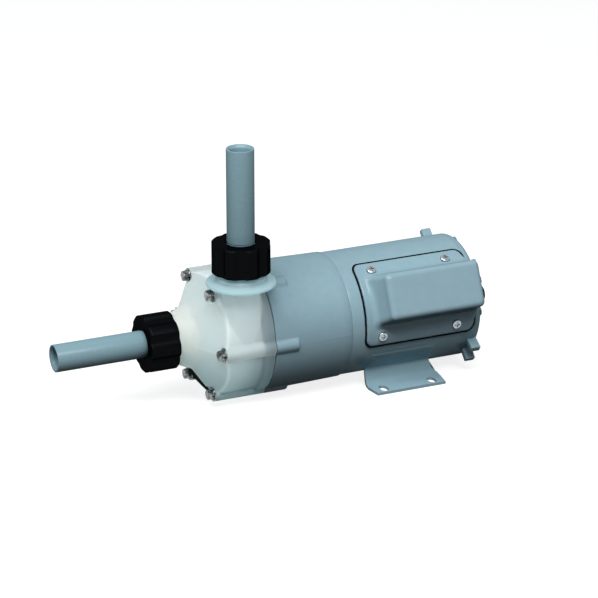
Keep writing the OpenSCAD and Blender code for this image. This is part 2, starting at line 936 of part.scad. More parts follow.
module rear_cover() {
  pocket_z1 = rear_bearing_y1 + wave_t + seat_gap - barrel_y1;
  pocket_z0 = rear_bearing_y0 - barrel_y1;
  seat_z = rear_cover_len - 1.2;
  color(paint)
    difference() {
      union() {
        turned(barrel_y1) {
          rotate_extrude() {
            square([barrel_r - shoulder_r, rear_cover_len]);
            square([barrel_r, rear_cover_len - shoulder_r]);
            intersection() {
              translate([barrel_r - shoulder_r, rear_cover_len - shoulder_r])
                circle(shoulder_r);
              square([barrel_r, rear_cover_len]);
            }
          }
          translate([0, 0, -spigot_len])
            ring(spigot_r, spigot_in_r, spigot_len);
          translate([0, 0, pocket_z0])
            cylinder(r = bearing_boss_r, h = -pocket_z0);
        }
        for (a = lug_clocks, side = [-1, 1])
          clock(a + side * lug_fork_angle)
            lug_prong(a == lug_angle ? 0 : lug_overhang);
      }
      turned(barrel_y1) {
        translate([0, 0, pocket_z0 - cut])
          cylinder(r = bearing_r + seat_gap, h = pocket_z1 - pocket_z0 + cut);
        for (a = tie_clocks)
          rotate([0, 0, a])
            translate([tie_r, 0, 0]) {
              translate([0, 0, -spigot_len - cut])
                cylinder(r = screw_r + hole_gap, h = spigot_len + rear_cover_len + 2 * cut);
              translate([0, 0, seat_z])
                cylinder(r = pan_r + hole_gap, h = rear_cover_len);
            }
      }
    }
}

// Long screws that hold the motor together
module tie_bolts() {
  seat_z = rear_cover_len - 1.2;
  tip = 8;
  color(steel)
    turned(barrel_y1)
      for (a = tie_clocks)
        rotate([0, 0, a])
          translate([tie_r, 0, seat_z])
            pan_screw(screw_d, barrel_len + seat_z + tip);
}

// Rotor

module motor_shaft() {
  front_y = face_y + cup_back_z0 + 1;
  step_y0 = barrel_y0 + 0.5;
  step_y1 = rear_bearing_y0 - 0.5;
  color(steel) {
    turned(front_y)
      cylinder(r = shaft_r, h = rear_bearing_y1 + 0.5 - front_y);
    turned(step_y0)
      cylinder(r = shaft_mid_r, h = step_y1 - step_y0);
  }
}

module rotor_core() {
  color("gray")
    turned(core_y0) {
      ring(rotor_r, shaft_mid_r + seat_gap, core_len);
      translate([0, 0, -end_ring_len])
        ring(end_ring_r, shaft_mid_r + seat_gap, core_len + 2 * end_ring_len);
    }
}

module drive_cup() {
  color("darkgray")
    turned(face_y)
      difference() {
        rotate_extrude()
          polygon([
            [drive_out_r + seat_gap, cup_z0],
            [cup_r, cup_z0],
            [cup_r, cup_back_z0 + cup_back_t],
            [drive_hub_r, cup_back_z0 + cup_back_t],
            [drive_hub_r, drive_hub_z1],
            [shaft_r + seat_gap, drive_hub_z1],
            [shaft_r + seat_gap, cup_back_z0],
            [drive_out_r + seat_gap, cup_back_z0]
          ]);
        translate([0, 0, set_screw_z])
          rotate([0, 90, 0])
            cylinder(r = screw_r, h = drive_hub_r + cut);
      }
}

module drive_magnets() {
  color("#3a3a40")
    turned(face_y + cup_z0 + 1)
      pole_ring(drive_out_r, drive_in_r, magnet_len);
}

module hub_set_screw() {
  color(steel)
    turned(face_y + set_screw_z)
      rotate([0, 90, 0])
        translate([0, 0, shaft_r + 0.1])
          cylinder(r = screw_r - thread_gap, h = drive_hub_r - shaft_r - 0.4);
}

// Impeller

// One vane: a flat curved blade, part of a ring that bends back from the eye to the rim
module vane() {
  bend_r = impeller_r * 0.62;
  linear_extrude(vane_h + 2 * vane_root)
    intersection() {
      translate([0, impeller_r * 0.5])
        difference() {
          circle(bend_r);
          circle(bend_r - vane_t);
        }
      difference() {
        circle(impeller_r - vane_inset);
        circle(eye_r + vane_inset);
      }
      translate([0, -impeller_r])
        square([impeller_r, 2 * impeller_r]);
    }
}

module impeller() {
  color("lightcyan")
    turned(face_y) {
      rotate_extrude()
        polygon([
          [bush_r + seat_gap, bush_z0],
          [hub_r, bush_z0],
          [hub_r, vane_z1],
          [impeller_r, vane_z1],
          [impeller_r, back_z1],
          [capsule_r, back_z1],
          [capsule_r, capsule_z1],
          [capsule_r - capsule_wall, capsule_z1],
          [capsule_r - capsule_wall, magnet_z0],
          [core_hub_r, magnet_z0],
          [core_hub_r, capsule_z1],
          [bush_r + seat_gap, capsule_z1]
        ]);
      rotate_extrude()
        polygon([
          [eye_r, eye_z0],
          [eye_r + eye_wall, eye_z0],
          [eye_r + eye_wall, front_z0],
          [impeller_r, front_z0],
          [impeller_r, vane_z0],
          [eye_r, vane_z0]
        ]);
      for (k = [0:vane_count - 1])
        rotate([0, 0, 360 / vane_count * k])
          translate([0, 0, vane_z0 - vane_root])
            vane();
    }
}

module driven_yoke() {
  color("darkgray")
    turned(face_y + magnet_z0 + seat_gap)
      ring(driven_yoke_r, core_hub_r + seat_gap, magnet_len - 2 * seat_gap);
}

module driven_magnets() {
  color("#3a3a40")
    turned(face_y + magnet_z0 + seat_gap)
      pole_ring(driven_out_r, driven_yoke_r + seat_gap, magnet_len - 2 * seat_gap);
}

module magnet_cap() {
  color("lightcyan")
    turned(face_y + magnet_z1)
      ring(driven_out_r, core_hub_r + seat_gap, cap_t);
}

module impeller_bush() {
  color("#2c2c2e")
    turned(face_y + bush_z0)
      ring(bush_r, spindle_r + run_gap, bush_z1 - bush_z0);
}

// Feet

// Section of the right foot: strip on the barrel, leg and flange
module foot_section() {
  reach = 2 * barrel_r;
  translate([0, shaft_h])
    intersection() {
      difference() {
        circle(strip_r + foot_t);
        circle(strip_r);
      }
      polygon([
        [0, 0],
        [reach * sin(strip_angle), reach * cos(strip_angle)],
        [reach * sin(foot_angle), reach * cos(foot_angle)]
      ]);
    }
  strip(crease, bend, foot_t);
  strip(bend, [foot_edge_x + foot_corner_r, foot_t / 2], foot_t);
}

module foot_right() {
  plan_w = 2 * foot_edge_x;
  color(paint)
    difference() {
      intersection() {
        translate([0, foot_len / 2, 0])
          rotate([90, 0, 0])
            linear_extrude(foot_len)
              foot_section();
        translate([0, 0, -cut])
          linear_extrude(shaft_h + cut)
            round_rect(plan_w, foot_len, foot_corner_r);
      }
      for (y = [-1, 1])
        translate([slot_spacing_x / 2, y * slot_spacing_y / 2, -cut])
          linear_extrude(foot_t + 2 * cut)
            strip([-(slot_l - slot_w) / 2, 0], [(slot_l - slot_w) / 2, 0], slot_w);
    }
}

module foot_left() {
  mirror([1, 0, 0])
    foot_right();
}

// Terminal box

// Curved sheet on the barrel, cut to a rectangle with round corners
module curved_sheet(r_in, t, w, l, r) {
  mid_y = plate_y1 - plate_len / 2;
  intersection() {
    turned(plate_y0 - 2 * gasket_rim)
      ring(r_in + t, r_in, plate_len + 4 * gasket_rim);
    clock(box_angle)
      translate([0, mid_y, 0])
        linear_extrude(2 * barrel_r)
          round_rect(w, l, r);
  }
}

module cover_screw_holes() {
  for (y = cover_screw_ys, a = [-1, 1])
    clock(box_angle + a * cover_screw_angle)
      translate([0, y, barrel_in_r])
        cylinder(r = screw_r + hole_gap, h = 2 * box_h);
}

module terminal_gasket() {
  rim_w = plate_w + 2 * gasket_rim;
  rim_len = min(plate_len + 2 * gasket_rim, plate_len + 2 * plate_end_gap);
  color(black_rubber)
    difference() {
      curved_sheet(barrel_r, gasket_t, rim_w, rim_len, plate_corner_r + gasket_rim);
      clock(box_angle)
        translate([0, plate_y1 - plate_len / 2, 0])
          linear_extrude(2 * barrel_r)
            round_rect(window_w, window_len, 2);
      cover_screw_holes();
    }
}

// Rounded body of the box; the same corners with smaller balls give its hollow
module box_body(r) {
  inset = box_edge_r;
  top_z = box_top - inset;
  fall = top_z - box_root;
  clock(box_angle)
    hull()
      for (x = [-1, 1]) {
        for (y = [box_y0 + inset, box_y1 - inset])
          translate([box_shift + x * (box_w / 2 - inset), y, top_z])
            sphere(r, $fn = ball_fn);
        for (y = [box_y0 + inset - box_lean * fall / box_h, box_y1 - inset])
          translate([box_shift + x * (box_w / 2 - inset + box_flare), y, box_root])
            sphere(r, $fn = ball_fn);
      }
}

module terminal_cover() {
  color(paint)
    difference() {
      union() {
        curved_sheet(gasket_r, cover_t, plate_w, plate_len, plate_corner_r);
        difference() {
          box_body(box_edge_r);
          turned(barrel_y0)
            cylinder(r = gasket_r, h = barrel_len);
        }
      }
      box_body(box_edge_r - cover_t);
      cover_screw_holes();
      clock(box_angle)
        translate([cable_u, box_y1 - box_edge_r, cable_h])
          rotate([-90, 0, 0])
            cylinder(r = cable_d / 2 + grommet_wall + seat_gap, h = box_edge_r + cut);
    }
}

module terminal_cover_screws() {
  color(steel)
    for (y = cover_screw_ys, a = [-1, 1])
      clock(box_angle + a * cover_screw_angle)
        translate([0, y, plate_r + 0.1])
          pan_screw(screw_d, plate_r + 0.1 - barrel_in_r - 0.2);
}

module terminal_block() {
  top = barrel_r + block_h;
  color("ivory")
    difference() {
      clock(box_angle)
        translate([box_shift - block_w / 2, block_y0, barrel_r - 3])
          cube([block_w, block_len, top - barrel_r + 3]);
      turned(barrel_y0)
        cylinder(r = barrel_r + seat_gap, h = barrel_len);
      block_screw_places(top)
        translate([0, 0, -block_hole_depth])
          cylinder(d = block_screw_d, h = block_hole_depth + cut);
    }
}

// Three places along the top of the terminal block
module block_screw_places(top) {
  for (k = [-1, 0, 1])
    clock(box_angle)
      translate([box_shift + k * block_w / 3, block_y0 + block_len / 2, top])
        children();
}

module terminal_block_screws() {
  color("goldenrod")
    block_screw_places(barrel_r + block_h)
      pan_screw(block_screw_d, block_screw_len);
}

module capacitor() {
  color("steelblue")
    clock(box_angle)
      translate([box_shift, capacitor_y0, capacitor_h])
        rotate([-90, 0, 0])
          cylinder(r = capacitor_r, h = capacitor_len);
}

module capacitor_clip() {
  color(steel)
    clock(box_angle)
      translate([box_shift, capacitor_y0 + (capacitor_len - clip_len) / 2, capacitor_h])
        rotate([-90, 0, 0])
          ring(capacitor_r + clip_t, capacitor_r + seat_gap, clip_len);
}

// Flanged rubber ring for a hole of radius bore + wall in a sheet of thickness t
module grommet(bore, t) {
  lip_r = bore + 2 * grommet_wall;
  difference() {
    union() {
      translate([0, 0, -t - grommet_flange])
        cylinder(r = lip_r, h = grommet_flange - seat_gap);
      translate([0, 0, -t - grommet_flange])
        cylinder(r = bore + grommet_wall, h = t + 2 * grommet_flange);
      translate([0, 0, seat_gap])
        cylinder(r = lip_r, h = grommet_flange - seat_gap);
    }
    translate([0, 0, -t - grommet_flange - cut])
      cylinder(r = bore, h = t + 2 * grommet_flange + 2 * cut);
  }
}

module cable_grommet() {
  color(black_rubber)
    clock(box_angle)
      translate([cable_u, box_y1, cable_h])
        rotate([-90, 0, 0])
          grommet(cable_d / 2, cover_t);
}

// The barrel curves away under the grommet's flat lips, so they stand apart by that much more
module lead_grommet() {
  curve_room = pow(lead_lip_r, 2) / (2 * barrel_in_r) + 0.2;
  color(black_rubber)
    clock(lead_clock)
      translate([0, lead_y, barrel_r + 0.1])
        grommet(lead_r, barrel_wall + curve_room);
}

module earth_screw() {
  color("goldenrod")
    clock(earth_clock)
      translate([0, lead_y, barrel_r + 0.3])
        pan_screw(screw_d, barrel_wall + 0.1);
}

// Unions and pipes

module union_o_ring() {
  translate([0, 0, neck_len - union_groove_depth + union_seal_r])
    torus(union_seal_ring_r, union_seal_r);
}

// Collared tail that the nut holds against the neck
module union_tail() {
  rotate_extrude()
    polygon([
      [tail_bore_r, collar_z0],
      [collar_r, collar_z0],
      [collar_r, collar_z1],
      [tail_r, collar_z1],
      [tail_r, tail_z1],
      [pipe_r, tail_z1],
      [pipe_r, socket_z0],
      [tail_bore_r, socket_z0]
    ]);
}

// Pipe with its slightly narrower glued end, which reaches just past the nut
module union_pipe(free_len) {
  spigot_r = pipe_r - glue_gap;
  rotate_extrude()
    polygon([
      [pipe_bore / 2, socket_z0 + seat_gap],
      [spigot_r, socket_z0 + seat_gap],
      [spigot_r, nut_len + spigot_proud],
      [pipe_r, nut_len + spigot_proud],
      [pipe_r, nut_len + free_len],
      [pipe_bore / 2, nut_len + free_len]
    ]);
}

module union_nut() {
  difference() {
    rotate_extrude()
      polygon([
        [nut_bore_r, 0],
        [nut_r - nut_chamfer, 0],
        [nut_r, nut_chamfer],
        [nut_r, nut_len - nut_chamfer],
        [nut_r - nut_chamfer, nut_len],
        [lip_bore_r, nut_len],
        [lip_bore_r, lip_z0],
        [nut_bore_r, lip_z0]
      ]);
    for (k = [0:nut_lobes - 1])
      rotate([0, 0, 360 / nut_lobes * (k + 0.5)])
        translate([nut_r + groove_r - nut_groove, 0, -cut])
          cylinder(r = groove_r, h = nut_len + 2 * cut);
  }
}

module suction_o_ring() {
  color(black_rubber)
    suction_place()
      union_o_ring();
}

module suction_tail() {
  color(pipe_grey)
    suction_place()
      union_tail();
}

module suction_pipe() {
  color(pipe_grey)
    suction_place()
      union_pipe(suction_pipe_len);
}

module suction_nut() {
  color(black_plastic)
    suction_place()
      union_nut();
}

module discharge_o_ring() {
  color(black_rubber)
    discharge_place()
      union_o_ring();
}

module discharge_tail() {
  color(pipe_grey)
    discharge_place()
      union_tail();
}

module discharge_pipe() {
  color(pipe_grey)
    discharge_place()
      union_pipe(discharge_pipe_len);
}

module discharge_nut() {
  color(black_plastic)
    discharge_place()
      union_nut();
}

front_casing();
rear_casing();
casing_o_ring();
mouth_ring();
spindle();
front_thrust_washer();
rear_thrust_washer();
casing_bolts();
casing_spring_washers();
casing_washers();
motor_bracket();
motor_frame();
stator_core();
stator_windings();
front_bearing_outer();
rear_bearing_outer();
wave_washer();
rear_cover();
tie_bolts();
foot_right();
foot_left();
terminal_gasket();
terminal_cover();
terminal_cover_screws();
terminal_block();
terminal_block_screws();
capacitor();
capacitor_clip();
cable_grommet();
lead_grommet();
earth_screw();
suction_o_ring();
discharge_o_ring();
motor_shaft();
rotor_core();
front_bearing_inner();
front_bearing_balls();
rear_bearing_inner();
rear_bearing_balls();
drive_cup();
drive_magnets();
hub_set_screw();
impeller();
driven_yoke();
driven_magnets();
magnet_cap();
impeller_bush();
suction_tail();
suction_pipe();
suction_nut();
discharge_tail();
discharge_pipe();
discharge_nut();
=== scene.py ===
# %% [markdown]
# # A magnetic drive pump
# A small motor turns a cup of magnets, and the magnets drag a plastic impeller round inside a sealed casing.
# What shows is a milky plastic casing, a painted motor on two sheet feet, and two grey pipes held by black
# nuts. The solids that work are loaded first and stay where they are. Each later step makes one piece that
# shows.

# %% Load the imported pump
import json

import bmesh
import bpy
import numpy as np
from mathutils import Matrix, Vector


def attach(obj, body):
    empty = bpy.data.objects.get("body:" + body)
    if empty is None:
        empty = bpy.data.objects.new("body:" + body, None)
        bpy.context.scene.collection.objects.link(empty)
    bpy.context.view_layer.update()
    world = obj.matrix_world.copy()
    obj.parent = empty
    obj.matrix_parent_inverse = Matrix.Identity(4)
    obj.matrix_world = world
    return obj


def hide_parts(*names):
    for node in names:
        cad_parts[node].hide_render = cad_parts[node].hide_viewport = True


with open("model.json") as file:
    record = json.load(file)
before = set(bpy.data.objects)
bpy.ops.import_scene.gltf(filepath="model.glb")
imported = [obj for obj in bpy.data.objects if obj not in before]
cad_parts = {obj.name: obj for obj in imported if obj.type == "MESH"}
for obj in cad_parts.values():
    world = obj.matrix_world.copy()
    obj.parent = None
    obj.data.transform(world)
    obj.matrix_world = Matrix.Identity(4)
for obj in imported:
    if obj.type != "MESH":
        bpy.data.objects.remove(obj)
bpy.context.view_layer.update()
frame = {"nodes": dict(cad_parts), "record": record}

cad = frame["nodes"]

# %% [markdown]
# ## The view
# The camera was found by fitting the edges of the barrel, the bolt circle and the pipes to the photograph.
# A long lens far away keeps the barrel's sides nearly parallel. The small shift only frames the picture.

# %% Camera
AIM = Vector((0.0, -0.070, 0.054))
AZIMUTH, ELEVATION = np.radians(65.58), np.radians(21.26)
DISTANCE = 2.3702       # metres from the aim
PICTURE_PX = 598        # width of the picture
FOCUS_PX = 2935.6       # focal length in the same pixels
SHIFT_PX = (-5.14, 18.50)
towards_camera = Vector((
    np.cos(ELEVATION) * np.sin(AZIMUTH),
    -np.cos(ELEVATION) * np.cos(AZIMUTH),
    np.sin(ELEVATION),
))
scene = bpy.context.scene
camera_data = bpy.data.cameras.new("long_lens")
camera_data.sensor_width = 36.0
camera_data.lens = 36.0 * FOCUS_PX / PICTURE_PX
camera_data.shift_x = SHIFT_PX[0] / PICTURE_PX
camera_data.shift_y = SHIFT_PX[1] / PICTURE_PX
camera_data.clip_end = 50.0
camera = bpy.data.objects.new("long_lens", camera_data)
camera.location = AIM + towards_camera * DISTANCE
camera.rotation_euler = (-towards_camera).to_track_quat("-Z", "Y").to_euler()
scene.collection.objects.link(camera)
scene.camera = camera
print("lens", round(camera_data.lens, 1), "mm, camera at", [round(v, 3) for v in camera.location])

# %% [markdown]
# ## Working with surfaces
# Nearly every piece here was turned or moulded round an axis, so its surface is a grid: rows run along the
# axis and columns run round it. Points are worked out in millimetres as whole arrays. Three frames are
# enough: the shaft with its clock angles, and one frame for each pipe union, which are twins.

# %% The three frames
SHAFT_H = 54.0          # shaft above the feet
SEAM_Y = -117.5         # casing meets the motor bracket
FACE_Y = -160.0         # plane that the casing bolts pull on
RISER_X = 35.0          # discharge line beside the shaft
RISER_Y = -140.0        # discharge line along the shaft
SUCTION_Y = -186.0      # inner end of the suction nut
DISCHARGE_Z = 116.6     # lower end of the discharge nut


def about_shaft(r, clock, y):
    """Radius r at a clock angle in degrees, 0 up and 90 on the terminal box side: x = r sin,
    z = shaft height + r cos."""
    c = np.radians(clock)
    return np.stack(np.broadcast_arrays(r * np.sin(c), y, SHAFT_H + r * np.cos(c)), axis=-1)


def about_suction(r, turn, s):
    """Radius r at an angle from +X towards +Z, s outwards along the suction line: x = r cos,
    z = shaft height + r sin."""
    t = np.radians(turn)
    return np.stack(np.broadcast_arrays(r * np.cos(t), SUCTION_Y - s, SHAFT_H + r * np.sin(t)), axis=-1)


def about_discharge(r, turn, s):
    """Radius r at an angle from +X towards +Y, s upwards along the discharge line: x = riser + r cos,
    y = riser + r sin."""
    t = np.radians(turn)
    x, y = RISER_X + r * np.cos(t), RISER_Y + r * np.sin(t)
    return np.stack(np.broadcast_arrays(x, y, DISCHARGE_Z + s), axis=-1)


# %% From a grid of points to a skin
def skin(points, ring=True):
    """Faces over points[row, column]. Columns meet all round. The last row meets the first in a ring-like
    skin, and otherwise the first and last rows are each closed by one lid."""
    rows, columns = points.shape[:2]
    here = np.arange(rows * columns).reshape(rows, columns)
    beside = np.roll(here, -1, axis=1)
    quads = np.stack([here, beside, np.roll(beside, -1, axis=0), np.roll(here, -1, axis=0)], axis=-1)
    if ring:
        return points.reshape(-1, 3), quads.reshape(-1, 4), []
    return points.reshape(-1, 3), quads[:-1].reshape(-1, 4), [here[0], here[-1]]


def profile(points):
    """Rows of (radius, station) as a band: one column of radii and one of stations."""
    rows = np.asarray(points, float)
    return rows[:, :1], rows[:, 1:]


def banded(place, turn, *bands, ring=True):
    """One skin from bands of rows that follow each other. Each band is its radii and its stations, given for
    every column or, where the row is round or flat, once."""
    r = np.concatenate([radius + 0 * turn for radius, _ in bands])
    s = np.concatenate([station + 0 * turn for _, station in bands])
    return skin(place(r, turn, s), ring)


# %% From skins to a piece
def mesh_of(name, skins):
    """One mesh from closed skins in millimetres, with its faces turned outwards."""
    starts = np.cumsum([0] + [len(points) for points, _, _ in skins])
    faces = []
    for start, (_, quads, lids) in zip(starts, skins):
        faces += (quads + start).tolist() + [(lid + start).tolist() for lid in lids]
    mesh = bpy.data.meshes.new(name)
    mesh.from_pydata(np.concatenate([points for points, _, _ in skins]) * 0.001, [], faces)
    shell = bmesh.new()
    shell.from_mesh(mesh)
    bmesh.ops.recalc_face_normals(shell, faces=shell.faces)
    shell.to_mesh(mesh)
    shell.free()
    return mesh


def piece(name, skins, body, slot, *stands_for, sharp=34):
    """One object from closed skins, shaded smooth except past the sharp angle, in its slot's finish, riding
    on its body in place of the solids that it stands for."""
    made = bpy.data.objects.new(name, mesh_of(name, skins))
    made.data.shade_smooth()
    made.data.set_sharp_from_angle(angle=np.radians(sharp))
    made.data.materials.append(finish[slot])
    scene.collection.objects.link(made)
    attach(made, body)
    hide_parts(*stands_for)
    print(name, len(made.data.polygons), "faces")
    return made


def keep_modified(made, sharp):
    """Keeps what a piece's modifiers make of it as its mesh, and takes the modifiers off."""
    kept = bpy.data.meshes.new_from_object(made.evaluated_get(bpy.context.evaluated_depsgraph_get()))
    made.modifiers.clear()
    made.data = kept
    kept.shade_smooth()
    kept.set_sharp_from_angle(angle=np.radians(sharp))
    print(made.name, "now has", len(kept.polygons), "faces")


def cut_away(made, skins, sharp=34):
    """Takes closed skins out of a piece by a Boolean difference, after which the cutter is gone."""
    cutter = bpy.data.objects.new("cutter", mesh_of("cutter", skins))
    scene.collection.objects.link(cutter)
    cut = made.modifiers.new("cut", "BOOLEAN")
    cut.operation, cut.solver, cut.object = "DIFFERENCE", "EXACT", cutter
    keep_modified(made, sharp)
    bpy.data.objects.remove(cutter)


# %% Outlines with soft corners
def soften(corners, steps=4):
    """A closed outline from rows of (a, b, radius): each corner becomes a quadratic curve that leaves one
    side a radius before the corner and joins the next side a radius after it."""
    rows = np.asarray(corners, float)
    point, radius = rows[:, :2], np.maximum(rows[:, 2], 0.05)
    back, on = np.roll(point, 1, axis=0) - point, np.roll(point, -1, axis=0) - point
    back_len, on_len = np.linalg.norm(back, axis=1), np.linalg.norm(on, axis=1)
    cut = np.minimum(radius, 0.45 * np.minimum(back_len, on_len))
    first = point + back * (cut / back_len)[:, None]
    last = point + on * (cut / on_len)[:, None]
    t = np.linspace(0, 1, steps)[None, :, None]
    curves = (1 - t) ** 2 * first[:, None] + 2 * t * (1 - t) * point[:, None] + t**2 * last[:, None]
    return curves.reshape(-1, 2)


def turned(corners, place, columns=96):
    """A closed outline of (radius, station, corner radius) carried round an axis."""
    turn = np.arange(columns)[None, :] * 360.0 / columns
    return banded(place, turn, profile(soften(corners)))


# %% [markdown]
# ## Finishes
# Each finish starts from the real material and how its surface was made. Patterns are read from Object
# coordinates, which are metres from the origin, so a pattern that repeats each few millimetres gets its
# scale from that size. One small function adds a node, sets it and links it, and the trees are built from
# nothing else.

# %% Colours and nodes
def linear(colour):
    """An sRGB hex colour as the linear red, green, blue and alpha that shaders take."""
    srgb = np.array([int(colour[k:k + 2], 16) for k in (1, 3, 5)]) / 255
    return (*np.where(srgb <= 0.04045, srgb / 12.92, ((srgb + 0.055) / 1.055) ** 2.4).tolist(), 1.0)


def per_metre(size):
    """Pattern scale for a feature of that many millimetres."""
    return 1000.0 / size


def add(tree, kind, inputs=(), **settings):
    """Adds a node, sets its own settings, and gives each named input a value or a link from another node's
    output."""
    node = tree.nodes.new("ShaderNode" + kind)
    for name, value in settings.items():
        setattr(node, name, value)
    for socket, value in dict(inputs).items():
        if isinstance(value, bpy.types.NodeSocket):
            tree.links.new(value, node.inputs[socket])
        else:
            node.inputs[socket].default_value = value
    return node


def new_finish(name):
    """A material with an empty tree, and the Object coordinates that its patterns read."""
    material = bpy.data.materials.new(name)
    material.use_nodes = True
    material.node_tree.nodes.clear()
    return material, material.node_tree, add(material.node_tree, "TexCoord").outputs["Object"]


# %% [markdown]
# ### Finishes with one grain
# Paint, moulded plastic, turned steel and rubber all read the same way at this scale: a colour that drifts a
# little, a gloss that drifts with it, and a fine relief. They differ in how long the grain is, how deep, and
# in which direction the tool drew it. So one function makes them all from those facts.

# %% Grain
def grained(name, pale, deep, grain, rough, relief, stretch=(1, 1, 1), sockets=(), sheen=0.0):
    """Noise of one grain size in mm moves the colour between deep and pale and the roughness by a quarter
    either way, and lifts the surface by relief mm. Stretch lengthens the pattern along an axis, so that it
    runs in lines. With a sheen the surface mirrors that same share from every side, which keeps undersides
    dark between white floor and walls."""
    material, tree, coords = new_finish(name)
    place = add(tree, "Mapping", {"Vector": coords, "Scale": [1.0 / v for v in stretch]})
    noise = add(tree, "TexNoise", {"Vector": place.outputs[0], "Scale": per_metre(grain), "Detail": 4.0})
    drift = noise.outputs["Fac"]
    colour = add(tree, "MapRange", {"Value": drift, "From Min": 0.3, "From Max": 0.7})
    mixed = add(tree, "Mix", {0: colour.outputs[0], 6: linear(deep), 7: linear(pale)}, data_type="RGBA")
    gloss = add(tree, "MapRange", {"Value": drift, "To Min": rough * 0.75, "To Max": rough * 1.25})
    bump = add(tree, "Bump", {"Height": drift, "Strength": 0.6, "Distance": relief * 0.001})
    surface = {"Roughness": gloss.outputs[0], "Normal": bump.outputs[0]}
    shader = add(tree, "BsdfPrincipled", {"Base Color": mixed.outputs[2], **surface, **dict(sockets)})
    if sheen:
        shader.inputs["Specular IOR Level"].default_value = 0.0
        mirror = add(tree, "BsdfAnisotropic", surface)
        shader = add(tree, "MixShader", {0: sheen, 1: shader.outputs[0], 2: mirror.outputs[0]})
    add(tree, "OutputMaterial", {"Surface": shader.outputs[0]})
    return material


# %% Finishes that show
PAINT = ("#92b0bc", "#8eacb8")
METAL = {"Metallic": 1.0}
finish = {
    # Semi-gloss stoving paint over castings and sheet: a soft sheen with a little orange peel
    "painted_casting": grained("stoved_paint_on_casting", *PAINT, 6.0, 0.30, 0.012, sheen=0.018),
    "painted_sheet": grained("stoved_paint_on_sheet", *PAINT, 8.0, 0.24, 0.010, sheen=0.022),
    # Extruded PVC pressure pipe: an even grey with the soft gloss of the die
    "grey_pvc": grained("extruded_pvc", "#82a1ac", "#80a0aa", 2.5, 0.26, 0.003, sheen=0.022),
    # Moulded black nylon: near black, with a fine even grain and a faint sheen
    "black_plastic": grained("moulded_black_nylon", "#05070a", "#030507", 0.9, 0.30, 0.010, sheen=0.0035),
    # Cold headed stainless steel: bright and dark spots are painted glints and painted dark reflections
    "stainless_steel": grained(
        "headed_stainless_steel_painted_glints", "#a2a6a6", "#26292b", 2.2, 0.22, 0.05, sockets=METAL),
    # Zinc plated screw heads: brighter than the bolts and nearly polished
    "plated": grained("zinc_plated_steel", "#a9b1b5", "#8f979b", 1.0, 0.22, 0.01, sockets=METAL),
    # Moulded rubber: black and matt
    "black_rubber": grained("moulded_rubber", "#0e1112", "#090b0c", 0.8, 0.55, 0.02, sheen=0.004),
}

# %% Finishes inside
LINES_ACROSS, LINES_ROUND, HANKS = (60, 1, 60), (30, 1, 30), (1, 20, 1)
finish |= {
    # Alumina rod and rings, ground: white and smooth
    "ceramic": grained("ground_alumina", "#f1eee6", "#e7e4dc", 1.0, 0.22, 0.01),
    # Stacked electrical sheet: grey with lines across the stack
    "core_steel": grained("stacked_core_sheet", "#8c8f92", "#6f7275", 0.8, 0.45, 0.05, LINES_ACROSS, METAL),
    # Enamelled copper wire wound in hanks: a brown shine in lines
    "copper_winding": grained("enamelled_copper_wire", "#b8672f", "#8f4a20", 1.0, 0.28, 0.2, HANKS, METAL),
    # Sintered ferrite, ground on its faces: dark grey and dull
    "magnet": grained("sintered_ferrite", "#3a3c40", "#2c2e31", 1.5, 0.55, 0.03),
    # Cast aluminium, turned: fine lines round the axis
    "cup_aluminium": grained("turned_aluminium", "#c3c6c8", "#aeb2b5", 0.7, 0.35, 0.03, LINES_ROUND, METAL),
    # Glass filled polypropylene: off-white, a little cloudy
    "filled_polypropylene": grained("glass_filled_polypropylene", "#d8dcd8", "#c9cec9", 2.5, 0.48, 0.04),
    # Moulded carbon, grey-black with a dull shine
    "carbon_bush": grained("moulded_carbon", "#33353a", "#26282c", 1.2, 0.40, 0.02),
    # Drawn brass, lightly tarnished
    "brass": grained("drawn_brass", "#c9a44f", "#a98739", 1.5, 0.32, 0.02, sockets=METAL),
    # Pressed phenolic moulding: dark brown and smooth
    "phenolic": grained("pressed_phenolic", "#4a2f22", "#3a241a", 1.5, 0.35, 0.02),
    # Plastic capacitor sleeve: pale grey and even
    "capacitor_can": grained("capacitor_sleeve", "#d9dcdd", "#ced2d3", 2.0, 0.35, 0.02),
}
print(len(finish), "finishes with one grain")

# %% [markdown]
# ### Natural polypropylene
# The casing is moulded without pigment, and light from behind comes through its thin walls. Scattering
# inside the wall would be the exact way, but in a hollow moulding it turns dark, so more than half of the
# shader is translucent instead. The colour follows the shaft: the rear ring is painted bluer and darker, as
# painted shade where the dark flange sits behind it, its last edge has a painted shadow where it meets the
# bracket, and at the thick hub it looks creamy. As painted shade, the disc is a little darker and cooler.

# %% Casing colour from place to place
natural, tree, coords = new_finish("natural_polypropylene_moulded")
axis = add(tree, "SeparateXYZ", {"Vector": coords})
along, up = axis.outputs["Y"], axis.outputs["Z"]
SOFT = {"interpolation_type": "SMOOTHSTEP"}
# painted shade: the rear ring is painted bluer and darker where the dark flange sits behind it
behind = add(tree, "MapRange", {"Value": along, "From Min": -0.1295, "From Max": -0.1262}, **SOFT)
# painted shadow: the casing's last edge is painted dark where it meets the bracket
joint_shadow = add(tree, "MapRange", {"Value": along, "From Min": -0.1184, "From Max": -0.1180})
thick = add(tree, "MapRange", {"Value": along, "From Min": -0.166, "From Max": -0.176}, **SOFT)
# painted shade: the disc's lit top is painted darker and cooler
painted_shade_on_disc = add(tree, "MapRange", {"Value": up, "From Min": 0.1046, "From Max": 0.1060}, **SOFT)
flow = add(tree, "TexNoise", {"Vector": coords, "Scale": per_metre(14.0), "Detail": 3.0, "Distortion": 0.6})
cloud = add(tree, "MapRange", {"Value": flow.outputs["Fac"], "From Min": 0.3, "From Max": 0.7})
